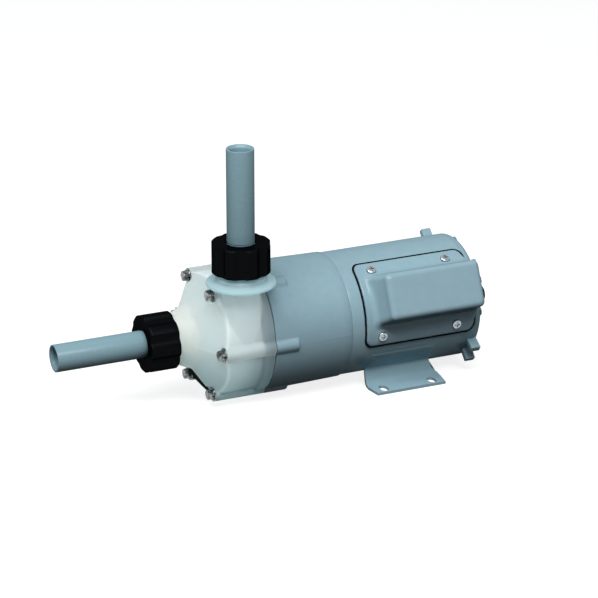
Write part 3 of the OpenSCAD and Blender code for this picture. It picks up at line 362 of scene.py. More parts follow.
# colour of the painted shadow where the casing meets the bracket
JOINT_SHADOW_PAINT = linear("#26343a")
tone = add(tree, "Mix", {
    0: cloud.outputs[0], 6: linear("#e6f6fa"), 7: linear("#eefbfd")}, data_type="RGBA")
# painted shade of the rear ring, with the painted shadow at its last edge
rear = add(tree, "Mix", {0: joint_shadow.outputs[0], 6: linear("#86a3b0"), 7: JOINT_SHADOW_PAINT}, data_type="RGBA")
for share, colour in ((thick, linear("#fbf8ee")), (behind, rear.outputs[2]), (painted_shade_on_disc, linear("#cde0e4"))):
    tone = add(tree, "Mix", {0: share.outputs[0], 6: tone.outputs[2], 7: colour}, data_type="RGBA")
print("casing colour from", len(tree.nodes), "nodes")

# %% [markdown]
# The light comes in from above, so the colour let through the wall is painted darker low down, as painted
# shade. Moulded edges get a painted glow, an emission standing in for light led along inside the wall: an
# attribute of the casing's own mesh marks them with 1, and with -1 the lowest face of the front, which is
# turned to the table and painted in shade with a dark diffuse colour.

# %% Milky casing plastic
# painted shade: the colour let through the wall is darker towards the bottom
depth = add(tree, "MapRange", {"Value": up, "From Min": 0.005, "From Max": 0.065})
let_through_shaded = add(tree, "Mix", {
    0: depth.outputs[0], 6: linear("#cbe4e6"), 7: linear("#fcffff")}, data_type="RGBA")
# the painted shadow at the last edge and the disc's painted shade tint the translucent colour too
for share, colour in ((joint_shadow, JOINT_SHADOW_PAINT), (painted_shade_on_disc, linear("#cfe4e8"))):
    let_through_shaded = add(tree, "Mix", {0: share.outputs[0], 6: let_through_shaded.outputs[2], 7: colour}, data_type="RGBA")
through = add(tree, "BsdfTranslucent", {"Color": let_through_shaded.outputs[2]})
# painted glow: emission on the moulded edges, read from the mesh's attribute
edge = add(tree, "Attribute", attribute_name="painted_glow_and_shade")
painted_edge_glow = add(tree, "MapRange", {"Value": edge.outputs["Fac"], "To Max": 0.5})
grain = add(tree, "TexNoise", {"Vector": coords, "Scale": per_metre(2.0), "Detail": 3.0})
grain_bump = add(tree, "Bump", {"Height": grain.outputs["Fac"], "Strength": 0.5, "Distance": 0.00004})
gloss = add(tree, "MapRange", {"Value": flow.outputs["Fac"], "To Min": 0.32, "To Max": 0.46})
shader = add(tree, "BsdfPrincipled", {
    "Base Color": tone.outputs[2], "Roughness": gloss.outputs[0], "Normal": grain_bump.outputs[0],
    "IOR": 1.49, "Emission Color": linear("#f4ffff"), "Emission Strength": painted_edge_glow.outputs[0]})
milky = add(tree, "MixShader", {0: 0.69, 1: shader.outputs[0], 2: through.outputs[0]})
# painted shade: the lowest face of the front, marked -1, is mixed to a dark diffuse colour
painted_shade_below = add(tree, "MapRange", {"Value": edge.outputs["Fac"], "From Max": -1.0})
shade = add(tree, "BsdfDiffuse", {"Color": linear("#6a7169")})
shaded = add(tree, "MixShader", {0: painted_shade_below.outputs[0], 1: milky.outputs[0], 2: shade.outputs[0]})
add(tree, "OutputMaterial", {"Surface": shaded.outputs[0]})
finish["natural_polypropylene"] = natural
print("casing finish from", len(tree.nodes), "nodes")

# %% Every solid takes its slot's finish
slot_of = {sub["node"]: sub["material_slot"] for sub in frame["record"]["subparts"]}
for name, solid in cad.items():
    solid.data.materials.clear()
    solid.data.materials.append(finish[slot_of[name]])
print(len(slot_of), "solids have a finish")

# %% [markdown]
# ## The casing
# The front casing is one moulding. Its drum is cut at the front by six flat faces that rise to a pyramid, the
# corners of the pyramid run out to the bolts, and a round hub carries the suction thread. A round bead runs
# along the drum at each bolt. Boolean cuts would leave hard, ragged edges here. Instead the radius is written
# as a function of clock angle and station, and the joins between its parts are soft minimums and maximums, as
# a mould's are.

# %% The casing's outside as one radius
DRUM_R, RING_R = 50.0, 52.0     # drum, and the ring at its rear
BOLT_R, BOSS_R = 48.6, 6.0      # bolt circle, and the bead round each bolt
POCKET_R = 6.8                  # room for a washer in front of the bolt face


def soft_max(a, b, power):
    """The larger of two radii with a fillet between: the power mean a^p + b^p to the 1/p."""
    return (a**power + b**power) ** (1.0 / power)


def soft_min(a, b, power):
    """The smaller of two radii with a rounded edge between: the same mean with a negative power."""
    return (a**-power + b**-power) ** (-1.0 / power)


def six_flats(clock):
    """How far a six-sided outline of unit flat radius reaches: one over the largest cosine to a flat."""
    flats = np.arange(0, 360, 60)
    reach = np.maximum(np.cos(np.radians(clock[..., None] - flats)), 0.0) ** 60
    return reach.sum(axis=-1) ** (-1.0 / 60)


def across_bolt(clock, radius):
    """A circle about the nearest bolt, seen from the shaft: the middle of its chord at a clock angle, half
    the chord's length, and whether the circle is met at all."""
    off = np.radians((clock % 60) - 30)
    inside = radius**2 - (BOLT_R * np.sin(off)) ** 2
    return BOLT_R * np.cos(off), np.sqrt(np.maximum(inside, 0)), inside > 0


def bolt_bead(clock, width):
    """Reach of the round bead at the nearest bolt: the far end of the chord through its circle."""
    middle, half, met = across_bolt(clock, width)
    return np.where(met, middle + half, 20.0)


# %% Pyramid, hub and pockets
def pyramid(clock, y):
    """Reach of the six flat faces: their distance from the shaft at a station, times the outline."""
    return np.interp(y, [-186, -174.2, -167, -155.4, -140], [10, 21.6, 33.0, 50, 75]) * six_flats(clock)


def front_radius(clock, y):
    """Pyramid, hub and drum together: the larger of the six flats and the hub cone, cut to the drum. In front
    of the bolt face each bolt has a round pocket, so the radius there stops at the near end of its chord."""
    cone = np.interp(y, [-185.4, -180.3, -174.3, -150], [20.5, 21.9, 25, 38])
    solid = soft_min(soft_max(pyramid(clock, y), cone, 60), DRUM_R, 60)
    middle, half, met = across_bolt(clock, POCKET_R)
    return np.minimum(solid, np.where(met & (y < FACE_Y), middle - half, 99.0))


# %% [markdown]
# The rows go from the seam over the ring and the drum to the hub, through the bore and back along the inside,
# so that the skin closes on itself. The beads stop in a flat face for the bolt washers: the rows there share
# one station.

# %% Casing body
clock = np.arange(720)[None, :] * 0.5
bead = bolt_bead(clock, BOSS_R)
ring_r, ring_y = profile(soften([
    (RING_R - 0.3, SEAM_Y, 0.3), (RING_R, SEAM_Y - 0.3, 0.3), (RING_R, SEAM_Y - 9.5, 0.8),
    (DRUM_R, SEAM_Y - 9.9, 0.8), (DRUM_R, SEAM_Y - 14, 0.1)]))
drum_y = np.concatenate([np.linspace(-134, -150, 5), np.linspace(-151, -159.4, 22)])[:, None]
edge_width, edge_y = profile([(5.9, -159.7), (5.68, -159.93), (5.4, -160.0)])
front_y = np.concatenate([[-160.01], np.linspace(-160.5, -184.6, 50)])[:, None]
inside = profile([
    (20.5, -185.1), (20.1, -185.4), (8.7, -185.4), (8.7, -172), (15, -160), (15, -152.5), (20.6, -152.5),
    (20.6, -148), (40, -148), (40, -124), (44, -124), (44, SEAM_Y)])
body = banded(
    about_shaft, clock,
    (soft_max(ring_r, bead, 60), ring_y),
    (soft_max(front_radius(clock, drum_y), bead, 60), drum_y),
    (np.maximum(front_radius(clock, edge_y), bolt_bead(clock, edge_width)), edge_y),
    (front_radius(clock, front_y), front_y),
    inside)
print("casing body", body[0].shape[0], "points")

# %% [markdown]
# Both necks carry the same coarse thread, which shows when a union is drawn off. A thread is a ridge whose
# station moves on by one pitch in one turn, so the radius is a triangle wave of station less turn. The end
# face has a groove for the seal ring.

# %% Threaded necks
THREAD_R, THREAD_DEPTH, PITCH = 16.62, 0.9, 2.3
BORE_R, SEAL_R, GROOVE = 8.5, 12.56, 1.35     # bore, seal ring, half width of its groove


def neck(place):
    """Neck from 6 mm inside its root to 14 mm out: the radius drops with the triangle wave of the thread."""
    turn = np.arange(120)[None, :] * 3.0
    s = np.concatenate([[-6.0, 0.4], np.linspace(0.8, 13.0, 40)])[:, None]
    wave = np.abs(2 * ((s / PITCH - turn / 360) % 1.0) - 1)
    depth = np.clip((wave - 0.2) / 0.6, 0, 1) * np.clip(s / 1.2, 0, 1)
    end = profile([
        (15.9, 13.6), (15.4, 14), (SEAL_R + GROOVE, 14), (SEAL_R + GROOVE, 11.6), (SEAL_R - GROOVE, 11.6),
        (SEAL_R - GROOVE, 14), (BORE_R + 0.4, 14), (BORE_R, 13.6), (BORE_R, -6)])
    return banded(place, turn, (THREAD_R - THREAD_DEPTH * depth, s), end)


threads = [neck(about_suction), neck(about_discharge)]
print("two necks of", threads[0][0].shape[0], "points")

# %% [markdown]
# The discharge leaves the drum at a tangent and rises to a round disc. The riser is a turned shape too, but
# its foot has to melt into the drum. So its radius grows where the drum is near, and most where the two
# surfaces meet at a right angle.

# %% Riser, disc and shoulder
RISER_R, RISER_BORE, DISC_R = 15, 8.6, 27.7
RISER_TOP = 100.0       # where the straight part ends


def riser():
    """Turned outline of riser, disc and stepped shoulder. Its foot stands in the drum's wall, so the straight
    rows start at the height of a 46 mm cylinder about the shaft, and near the drum the radius swells by a
    parabola of the gap."""
    turn = np.arange(180)[None, :] * 2.0
    outwards = np.cos(np.radians(turn))
    x = RISER_X + RISER_R * outwards
    foot = SHAFT_H + np.sqrt(np.maximum(46.0**2 - x**2, 0))
    z = foot + (RISER_TOP - foot) * np.linspace(0, 1, 14)[:, None]
    from_shaft = np.hypot(x, z - SHAFT_H)
    swell = 3.0 * np.clip(1 - (from_shaft - DRUM_R) / 6.0, 0, 1) ** 2 * (1 - x / from_shaft * outwards)
    top_r, top_z = profile(soften([
        (RISER_R, RISER_TOP, 0.1), (15.2, 105.7, 2.5), (DISC_R, 105.8, 1.2), (DISC_R, 109, 1.4),
        (21.6, 109.1, 0.8), (20.6, 110.3, 0.5), (20.6, 112.6, 0.5), (19.1, 113.1, 0.5), (19.1, 116, 0.6),
        (RISER_BORE, 116, 0.1), (RISER_BORE, RISER_TOP, 0.1)]))
    return banded(
        about_discharge, turn,
        (RISER_R + swell, z - DISCHARGE_Z), (top_r, top_z - DISCHARGE_Z), (RISER_BORE, foot - DISCHARGE_Z))


# %% [markdown]
# Body and riser are still two skins that pass through each other, and light on its way through the plastic
# would stop at the hidden faces. A voxel remesh keeps only the outer skin of both, and a little smoothing
# after it gives the join the fillet that a mould has.

# %% One skin for the moulding
casing = piece("casing", [body, riser()], "pump_body", "natural_polypropylene", "front_casing")
remesh = casing.modifiers.new("one_skin", "REMESH")
remesh.mode, remesh.voxel_size = "VOXEL", 0.0008
fillet = casing.modifiers.new("fillet", "SMOOTH")
fillet.factor, fillet.iterations = 0.5, 3
keep_modified(casing, 180)

# %% [markdown]
# Now the mesh gets the attribute that its finish reads for a painted glow on the edges: bell curves of the
# distance from the rim, where the pyramid cuts the drum, and from the ridges between its faces. They follow
# each change of shape, which marks painted by hand would not.

# %% Edges with a painted glow standing in for light led along the wall
RIM_WIDTH, RIDGE_WIDTH, RIDGE_SHARE = 1.5, 0.8, 0.35    # bell widths in mm, and a ridge's share of the glow
LOWEST_FROM = 150.5                                     # clock angle where the lowest face begins
points = np.empty(len(casing.data.vertices) * 3, np.float32)
casing.data.vertices.foreach_get("co", points)
x, y, z = points.reshape(-1, 3).T * 1000.0
r, bearing = np.hypot(x, z - SHAFT_H), np.degrees(np.arctan2(x, z - SHAFT_H))
reach = pyramid(bearing, y)
rim = np.exp(-(((reach - DRUM_R) / RIM_WIDTH) ** 2)) * ((r > 46) & (r < 51) & (y > FACE_Y + 0.5))
off_ridge = r * np.radians((bearing % 60) - 30)
on_ridge = (np.abs(r - reach) < 1.5) & (y < FACE_Y)
ridge = RIDGE_SHARE * np.exp(-((off_ridge / RIDGE_WIDTH) ** 2)) * on_ridge
# painted shade mask: the lowest face of the front, stored as -1 in the same attribute
near_face = (np.abs(r - reach) < 2.0) & (y < FACE_Y + 4) & (r < DRUM_R)
lowest = np.clip((np.abs(bearing) - LOWEST_FROM) / 1.5, 0, 1) * near_face
glow = np.where(lowest > 0, -lowest, np.maximum(rim, ridge)).astype(np.float32)
casing.data.attributes.new("painted_glow_and_shade", "FLOAT", "POINT").data.foreach_set("value", glow)
print("edges marked on", int((rim + ridge > 0.2).sum()), "points")

# %% Necks and the spindle holder across the inlet
holder = [(7.6, -160, 0.5), (7.6, -151, 0.4), (5.05, -151, 0.2), (5.05, -155, 0.2), (0.6, -155, 0.2),
          (0.6, -160, 0.2)]
inlet = threads + [turned(holder, about_shaft, 48)]
arm_x, arm_z = np.array([-1.5, 1.5, 1.5, -1.5]), np.array([6.2, 6.2, 15.6, 15.6])
arm_r, arm_turn = np.hypot(arm_x, arm_z)[None, :], np.degrees(np.arctan2(arm_x, arm_z))[None, :]
arm_ends = np.array([[-159.0], [-153.5]])
inlet += [skin(about_shaft(arm_r, arm_turn + arm, arm_ends), ring=False) for arm in (0, 120, 240)]
piece("casing_necks", inlet, "pump_body", "natural_polypropylene", "front_casing")

# %% [markdown]
# ## Bolts
# Six hexagon bolts hold the casing to the motor, each with a split spring washer over a flat one. A hexagon
# head is a circle cut by six flats and chamfered at the top, so its radius is again the smaller of two
# functions. The spring washer is square-edged wire wound through almost one turn, its ends a little apart.

# %% Hexagon bolts and washers
def at_bolt(angle):
    """A frame whose axis points out of the bolt hole at that clock angle, with stations counted from the bolt
    face."""
    middle = about_shaft(BOLT_R, angle, FACE_Y)

    def place(r, turn, s):
        t = np.radians(turn)
        return middle + np.stack(np.broadcast_arrays(r * np.cos(t), -s, r * np.sin(t)), axis=-1)

    return place


def hex_bolt(place, foot):
    """Shank of 2.5 mm radius, then a head 8 mm across flats: flats of radius 4, cut by a cone that leaves a
    round top."""
    turn = np.arange(72)[None, :] * 5.0
    shank = profile([(0.8, foot), (2.1, foot), (2.5, foot + 0.5), (2.5, 2.3)])
    cone, s = profile([
        (4.15, 2.3), (4.6, 2.45), (4.6, 4.6), (4.45, 5.0), (4.1, 5.4), (3.75, 5.65), (3.3, 5.8)])
    head = np.minimum(4.0 * six_flats(turn), cone)
    return banded(place, turn, shank, (head, s), profile([(1.2, 5.8)]), ring=False)


def spring_washer(place):
    """A section of 1.2 by 1.8 mm swept through 345 degrees while it climbs by 0.1 mm."""
    turn = np.linspace(8, 353, 60)[:, None]
    section = np.array([(2.8, 0), (4.6, 0), (4.6, 1.2), (2.8, 1.2)])
    climb = 1.0 + 0.1 * (turn - 8) / 345
    return skin(place(section[None, :, 0], turn, section[None, :, 1] + climb), ring=False)


BOLT_FOOT = -58.0       # end of the shank, in the motor bracket
flat_washer = [(2.85, 0, 0.1), (6, 0, 0.2), (6, 1, 0.3), (2.85, 1, 0.2)]
bolts = [at_bolt(angle) for angle in range(30, 360, 60)]
STEEL = ("pump_body", "stainless_steel")
piece("hex_bolts", [hex_bolt(p, BOLT_FOOT) for p in bolts], *STEEL, "casing_bolts", sharp=25)
piece("spring_washers", [spring_washer(p) for p in bolts], *STEEL, "casing_spring_washers")
piece("flat_washers", [turned(flat_washer, p, 48) for p in bolts], *STEEL, "casing_washers")

# %% [markdown]
# ## Unions
# Each pipe ends in a tail that a black ring nut pulls against its neck. The nut's grip is eight lobes
# between wide hollows, with a short chamfer at either end. The hollows could be cut out of a cylinder, but
# as a radius that depends on the turn they keep soft edges, and the chamfer runs them out as a lathe would.

# %% Ring nuts
NUT_R, NUT_LEN, LOBES = 23.7, 24.6, 8
HOLLOW_R, HOLLOW_OFF = 7.0, 4.4     # hollow's own radius, and its middle outside the grip


def ring_nut(place):
    """The nut's radius less a round hollow between every two lobes, cut by a short cone at either end. The
    hollow is a circle's height less the offset of its middle, rounded off where it falls to nothing."""
    turn = np.arange(432)[None, :] * 360.0 / 432
    off = NUT_R * np.sin(np.radians(turn % (360 / LOBES) - 180 / LOBES))
    arc = np.sqrt(np.maximum(HOLLOW_R**2 - off**2, 0)) - HOLLOW_OFF
    hollow = 0.5 * (arc + np.sqrt(arc**2 + 0.012)) - 0.001
    s = np.concatenate([np.linspace(0, 1.6, 7), np.linspace(4, 21, 6), np.linspace(22.4, 24.5, 9)])[:, None]
    lower, upper = 22.6 + 1.2 * s, 22.2 + (NUT_LEN - s) * 1.2
    grip = soft_min(soft_min(NUT_R - hollow, lower, 90), upper, 90)
    inner = profile([
        (20.6, 24.6), (15.2, 24.6), (14.8, 24.3), (12.0, 24.3), (11.5, 23.8), (11.5, 22.3), (13.6, 22.3),
        (13.6, 19.4), (17.02, 19.4), (17.02, 0.6), (17.5, 0), (20.5, 0)])
    return banded(place, turn, (grip, s), inner)


unions = (("suction", about_suction, 98.3), ("discharge", about_discharge, 100.5))
for union, place, _ in unions:
    nut = [ring_nut(place)]
    piece(union + "_ring_nut", nut, union + "_nut_ring", "black_plastic", union + "_nut", sharp=28)

# %% Pipes, cut square with a deep bevel in the bore, and the tails that they are glued into
PIPE_R, PIPE_BORE = 11, 8
tail = [
    (PIPE_BORE, 14.05, 0.2), (16.4, 14.05, 0.3), (16.4, 19.3, 0.3), (13.5, 19.3, 0.3), (13.5, 21.9, 0.3),
    (10.65, 21.9, 0.1), (10.65, 17.5, 0.1), (PIPE_BORE, 17.5, 0.1)]
for union, place, end in unions:
    pipe = [
        (PIPE_BORE, 17.55, 0.2), (10.6, 17.55, 0.2), (10.6, 25.2, 0.1), (PIPE_R, 25.2, 0.1),
        (PIPE_R, end, 0.4), (9.7, end, 0.3), (PIPE_BORE, end - 2.2, 0.8)]
    piece(union + "_pressure_pipe", [turned(pipe, place)], union + "_line", "grey_pvc", union + "_pipe")
    piece(union + "_union_tail", [turned(tail, place)], union + "_line", "grey_pvc", union + "_tail")

# %% [markdown]
# ## Motor bracket
# The bracket is a casting with a slight draft, so it tapers towards the motor. The casing's six beads go on
# over the seam as ridges and end blunt. It is the same radius idea as the casing, with a bead whose size
# falls to nothing at its end.

# %% Bracket with its ridges
RIDGE_END, BLUNT = 19.9, 2.0        # ridge length from the seam, and the rounding at its end
s = np.concatenate([
    [0.0, 0.15, 0.4], np.linspace(1, 17.4, 8), np.linspace(17.9, 20.1, 12), np.linspace(22, 66.2, 8),
    [66.7, 67.05, 67.2]])[:, None]
taper = np.interp(s, [0, 0.4, 66.2, 67.2], [52.0, 52.4, 51.0, 50.4])
left = np.clip(RIDGE_END - s, 0, BLUNT)
rounded = BOSS_R - BLUNT + np.sqrt(np.maximum(BLUNT**2 - (BLUNT - left) ** 2, 0))
cast = soft_max(taper, bolt_bead(clock, np.where(s < RIDGE_END, rounded, 0.5)), 60)
seat_r, seat_s = profile([
    (48.55, 67.2), (48.55, 72.5), (42, 72.5), (42, 67.2), (16.05, 67.2), (16.05, 57.2), (12, 57.2),
    (12, 54.5), (43.5, 54.5), (43.5, 4), (40.05, 4), (40.05, 0)])
bracket = banded(about_shaft, clock, (cast, SEAM_Y + s), (seat_r, SEAM_Y + seat_s))
piece("bracket", [bracket], "pump_body", "painted_casting", "motor_bracket")

# %% [markdown]
# ## Terminal cover
# The cover is a drawn sheet lid: a plate bent round the barrel with a soft-cornered box standing on it. Its
# surface is a loft. Outlines of one kind, rounded rectangles with the same number of points, are stacked from
# the inside of the box, down under the plate, round its edge and up to the top of the box.

# %% Rounded outlines for the loft
BOX_CLOCK = 64.7                        # clock angle of the terminal box
BOX_REAR, BOX_EDGE = 59.0, 4.5          # its rear wall, and the rounding of its top
BOX_WALL_TOP = 66.5                     # where that rounding starts, from the shaft
BOX_TOP = BOX_WALL_TOP + BOX_EDGE
PLATE_IN_R, PLATE_R = 51.4, 52.9        # faces of the bent plate


def round_rectangle(low_x, high_x, low_y, high_y, radius, along=22, corner=7):
    """A rectangle with rounded corners as points: a quarter circle at each corner, then evenly along the next
    side."""
    centres = [(high_x - radius, high_y - radius), (low_x + radius, high_y - radius),
               (low_x + radius, low_y + radius), (high_x - radius, low_y + radius)]
    sides = []
    for k, (cx, cy) in enumerate(centres):
        q = np.radians(np.linspace(0, 90, corner)) + k * np.pi / 2
        sides.append(np.stack([cx + radius * np.cos(q), cy + radius * np.sin(q)], axis=-1))
    t = np.linspace(0, 1, along + 2)[1:-1, None]
    runs = [side[-1] + (after[0] - side[-1]) * t for side, after in zip(sides, sides[1:] + sides[:1])]
    return np.concatenate([part for pair in zip(sides, runs) for part in pair])


def at_clock(x, y, z, clock=BOX_CLOCK):
    """A frame that stands on the barrel at a clock angle: x round the barrel, z out from the shaft."""
    c = np.radians(clock)
    across, height = z * np.sin(c) + x * np.cos(c), SHAFT_H + z * np.cos(c) - x * np.sin(c)
    return np.stack(np.broadcast_arrays(across, y, height), axis=-1)


def box_fall(z):
    """How far down the box's wall a height lies, as a share of 20.3 mm."""
    return (BOX_WALL_TOP - z) / 20.3


def box_outline(z, inset):
    """The box at a height: its front leans and its sides flare towards the barrel, and inset draws it in all
    round."""
    fall = box_fall(min(z, BOX_WALL_TOP))
    return round_rectangle(
        -21 - 1.5 * fall + inset, 17 + 1.5 * fall - inset, -24.6 - 7.6 * fall + inset, BOX_REAR - inset,
        max(4.5 - 0.6 * inset, 1.2))


def plate_outline(inset):
    """The plate's edge drawn in all round. At the rear it steps out by 3 mm where the box stands on it."""
    outline = round_rectangle(-33 + inset, 33 - inset, -38.3 + inset, 56.8 - inset, max(5.5 - inset, 1.0))
    under_box = np.clip((22 - np.abs(outline[:, 0] + 2)) / 2.5, 0, 1)
    outline[:, 1] += 3.0 * under_box * (outline[:, 1] > 40)
    return outline


# %% Where the outlines lie
def on_barrel(outline, radius):
    """An outline laid on a cylinder about the shaft: z = root of radius squared less x squared."""
    return at_clock(outline[:, 0], outline[:, 1], np.sqrt(radius**2 - outline[:, 0] ** 2))


def level(outline, z):
    """An outline at one height."""
    return at_clock(outline[:, 0], outline[:, 1], np.full(len(outline), z))


def box_wall(foot, height):
    """The box's wall between the bent plate and its top: a share of the way up at each point, so the foot
    follows the bend."""
    low = np.sqrt(PLATE_R**2 - np.clip(box_outline(52, 0)[:, 0], -40, 40) ** 2)
    z = low + (BOX_WALL_TOP - low) * height
    base, top = box_outline(46.2, -foot), box_outline(BOX_WALL_TOP, -foot)
    xy = top + (base - top) * box_fall(z)[:, None]
    xy[:, 1] = np.minimum(xy[:, 1], BOX_REAR)
    return at_clock(xy[:, 0], xy[:, 1], z)


# %% Terminal cover
inside_box = [(14, 69.5), (4.5, 69.5), (2.2, 68.3), (1.5, 66.5)]
rows = [level(box_outline(BOX_WALL_TOP, inset), z) for inset, z in inside_box]
rows += [on_barrel(box_outline(50, 1.5), PLATE_IN_R), on_barrel(plate_outline(1.0), PLATE_IN_R)]
plate_edge = [(0.2, 51.4), (0.0, 51.6), (0.0, 52.4), (0.15, 52.75), (0.5, 52.9)]
rows += [on_barrel(plate_outline(inset), radius) for inset, radius in plate_edge]
plate_in, wall_foot = plate_outline(0.5), box_outline(50, -2.6)
wall_foot[:, 1] = np.minimum(wall_foot[:, 1], BOX_REAR + 0.2)
rows += [on_barrel(plate_in + (wall_foot - plate_in) * t, PLATE_R) for t in (0.2, 0.45, 0.7, 0.9, 1.0)]
fillet_rows = [(1.6, 0.02), (0.9, 0.07), (0.4, 0.14), (0.1, 0.23), (0.0, 0.33), (0.0, 0.7), (0.0, 1.0)]
rows += [box_wall(foot, height) for foot, height in fillet_rows]
for bend in np.radians(np.linspace(10, 90, 9)):
    drawn_in = box_outline(BOX_WALL_TOP, BOX_EDGE * (1 - np.cos(bend)))
    rows.append(level(drawn_in, BOX_WALL_TOP + BOX_EDGE * np.sin(bend)))
rows += [level(box_outline(BOX_WALL_TOP, inset), BOX_TOP) for inset in (7, 11, 14)]
cover_skin = skin(np.stack(rows), ring=False)
cover = piece("terminal_box_cover", [cover_skin], "pump_body", "painted_sheet", "terminal_cover", sharp=40)

# %% [markdown]
# The cover sits on a rubber gasket that is a little larger than the plate, so a dark line runs all round it.
# The lead enters through a grommet in the rear wall of the box, which needs a round hole: that one is cut.

# %% Gasket
def gasket_outline(inset):
    """The plate's outline, 1.2 mm longer at the rear, and stopped just past the end of the barrel."""
    outline = plate_outline(inset)
    outline[:, 1] = np.minimum(outline[:, 1] + 1.2 * (outline[:, 1] > 45), 60.2)
    return outline


section = [(-0.9, 50.25), (-1.25, 50.7), (-1.1, 51.2), (-0.6, 51.38), (3.0, 51.38), (3.0, 50.25)]
gasket = skin(np.stack([on_barrel(gasket_outline(inset), radius) for inset, radius in section]))
piece("cover_gasket", [gasket], "pump_body", "black_rubber", "terminal_gasket")


# %% Cable hole
def rod(middle, along, radius, columns=40):
    """A plain rod for cutting round holes: circles about two ends of a straight axis."""
    along = np.asarray(along, float)
    side = np.cross(along, [0.3, 0.8, 0.5])
    side = radius * side / np.linalg.norm(side)
    up = np.cross(along / np.linalg.norm(along), side)
    turn = np.radians(np.arange(columns) * 360.0 / columns)[:, None]
    circle = np.cos(turn) * side + np.sin(turn) * up
    return skin(np.stack([middle - along / 2 + circle, middle + along / 2 + circle]), ring=False)


cut_away(cover, [rod(at_clock(6.0, BOX_REAR, 60.6), (0, 8, 0), 5.0)], sharp=40)

# %% [markdown]
# ## Pan head screws
# Four cross recessed screws hold the cover. The head is a dome: a grid of turn and radius whose height falls
# towards the rim, and drops to the recess floor inside a cross. The recess edge is soft, so it catches the
# light as a stamped one does.

# %% Cover screws
HEAD_TOP, RECESS = 2.48, 1.1            # height of the dome, and depth of the cross
CROSS_HALF, CROSS_REACH = 0.5, 2.1      # half width and half length of its arms


def pan_screw(across, y):
    """A dome whose height falls by the square of the radius, then a rim and a short shank. Inside the cross
    it drops to the recess floor over a quarter of a millimetre."""
    c = np.radians(BOX_CLOCK + across)
    out, sideways = np.array([np.sin(c), 0, np.cos(c)]), np.array([np.cos(c), 0, -np.sin(c)])
    base = np.array([0, y, SHAFT_H]) + PLATE_R * out
    turn = np.radians(np.arange(96)[None, :] * 3.75)
    dome_r = np.concatenate([[0.15], np.linspace(0.3, 3.3, 21)])
    dome = HEAD_TOP - 0.55 * (dome_r / 3.3) ** 2
    rim = np.array([(3.55, 1.78), (3.75, 1.5), (3.86, 1.1), (3.88, 0.3), (3.7, 0.0), (2.0, 0.0), (1.9, -6.0)])
    r, h = profile(np.concatenate([np.stack([dome_r, dome], axis=-1), rim]))
    u, v = r * np.cos(turn), r * np.sin(turn)
    shorter, longer = np.minimum(np.abs(u), np.abs(v)), np.maximum(np.abs(u), np.abs(v))
    arm = np.maximum(shorter - CROSS_HALF, longer - CROSS_REACH)
    h = h - RECESS * np.clip(0.5 - arm / 0.25, 0, 1) * (np.arange(len(r)) < 24)[:, None]
    lengthways = np.array([0, 1.0, 0])
    return skin(base + u[..., None] * sideways + v[..., None] * lengthways + h[..., None] * out, ring=False)


heads = [pan_screw(across, y) for across in (-30.2, 30.2) for y in (-25.0, 41.0)]
screws = piece("cover_screws", heads, *STEEL, "terminal_cover_screws", sharp=50)
screws.data.materials[0] = finish["plated"]

# %% [markdown]
# ## Barrel and rear cover
# The barrel is sheet rolled to a tube. Spot welds hold the feet to it, and each leaves a shallow ring-shaped
# dent, so the tube's radius is lowered by a bell curve of the distance from each weld, and raised a little
# where a foot's strip lies flush. The rear cover is a pressing with a round shoulder. Forked lugs stand on
# its rim and reach over the end of the barrel, except under the terminal cover.

# %% Barrel with spot welds
BARREL_R, BARREL_IN_R = 50.2, 48.6
BARREL_FRONT, BARREL_END = -50.3, 60.0
STRIP_CLOCK, STRIP_Y = (117, 150), (-31, 26)    # where a foot's strip lies flush, on either side
MM_PER_DEGREE = 0.88                            # round the barrel
y = np.concatenate([[-50.3, -50.15, -49.9], np.linspace(-48, 58, 108), [59.6, 59.85, 60.0]])[:, None]
wall = BARREL_R - np.interp(y, [-50.3, -50.15, -49.9, 59.6, 59.85, 60], [0.3, 0.1, 0, 0, 0.1, 0.3])
around = np.abs((clock + 180) % 360 - 180)
inside_round = np.minimum(around - STRIP_CLOCK[0], STRIP_CLOCK[1] - around) * MM_PER_DEGREE
inside_along = np.minimum(y - STRIP_Y[0], STRIP_Y[1] - y)
strip = np.clip(np.minimum(inside_round, inside_along) / 1.2, 0, 1)
dent = -0.3 * strip * strip * (3 - 2 * strip)
for weld_clock in (124, -124):
    for weld_y in (-22.0, 17.0):
        aside = BARREL_R * np.radians((clock - weld_clock + 180) % 360 - 180)
        dent = dent + 0.4 * np.exp(-((np.hypot(aside, y - weld_y) - 1.9) / 0.8) ** 2)
tube = profile([(BARREL_IN_R, BARREL_END), (BARREL_IN_R, BARREL_FRONT)])
barrel_skin = banded(about_shaft, clock, (wall - dent, y), tube)
barrel = piece("barrel", [barrel_skin], "pump_body", "painted_sheet", "motor_frame")
LEAD_CLOCK = 70.7
lead_axis = at_clock(0, 0, 12, LEAD_CLOCK) - (0, 0, SHAFT_H)
cut_away(barrel, [rod(at_clock(0, 46.2, 50, LEAD_CLOCK), lead_axis, 4.9)])

# %% Rear pressing with seats for the tie screws
SHOULDER = 6.0
shoulder = np.radians(np.linspace(0, 90, 14))
pressing = np.concatenate([
    [(0.4, 66.5), (22, 66.5), (42, 66.5)],
    np.stack([44.2 + SHOULDER * np.sin(shoulder), 60.5 + SHOULDER * np.cos(shoulder)], axis=-1),
    [(50.2, 60.02), (48.5, 60.02), (48.5, 54.7), (46.6, 54.7), (46.6, 60), (20, 60), (20, 50.9),
     (16.05, 50.9), (16.05, 62.6), (0.4, 62.6)]])
turn = np.arange(240)[None, :] * 1.5
rear_skin = banded(about_shaft, turn, profile(pressing), ring=False)
rear_pressing = piece("rear_pressing", [rear_skin], "pump_body", "painted_casting", "rear_cover")
ties = [about_shaft(45.5, angle, 65.3) for angle in (0, 90, 180, 270)]
cut_away(rear_pressing, [rod(middle + (0, 6.0, 0), (0, 12, 0), 4.1) for middle in ties])


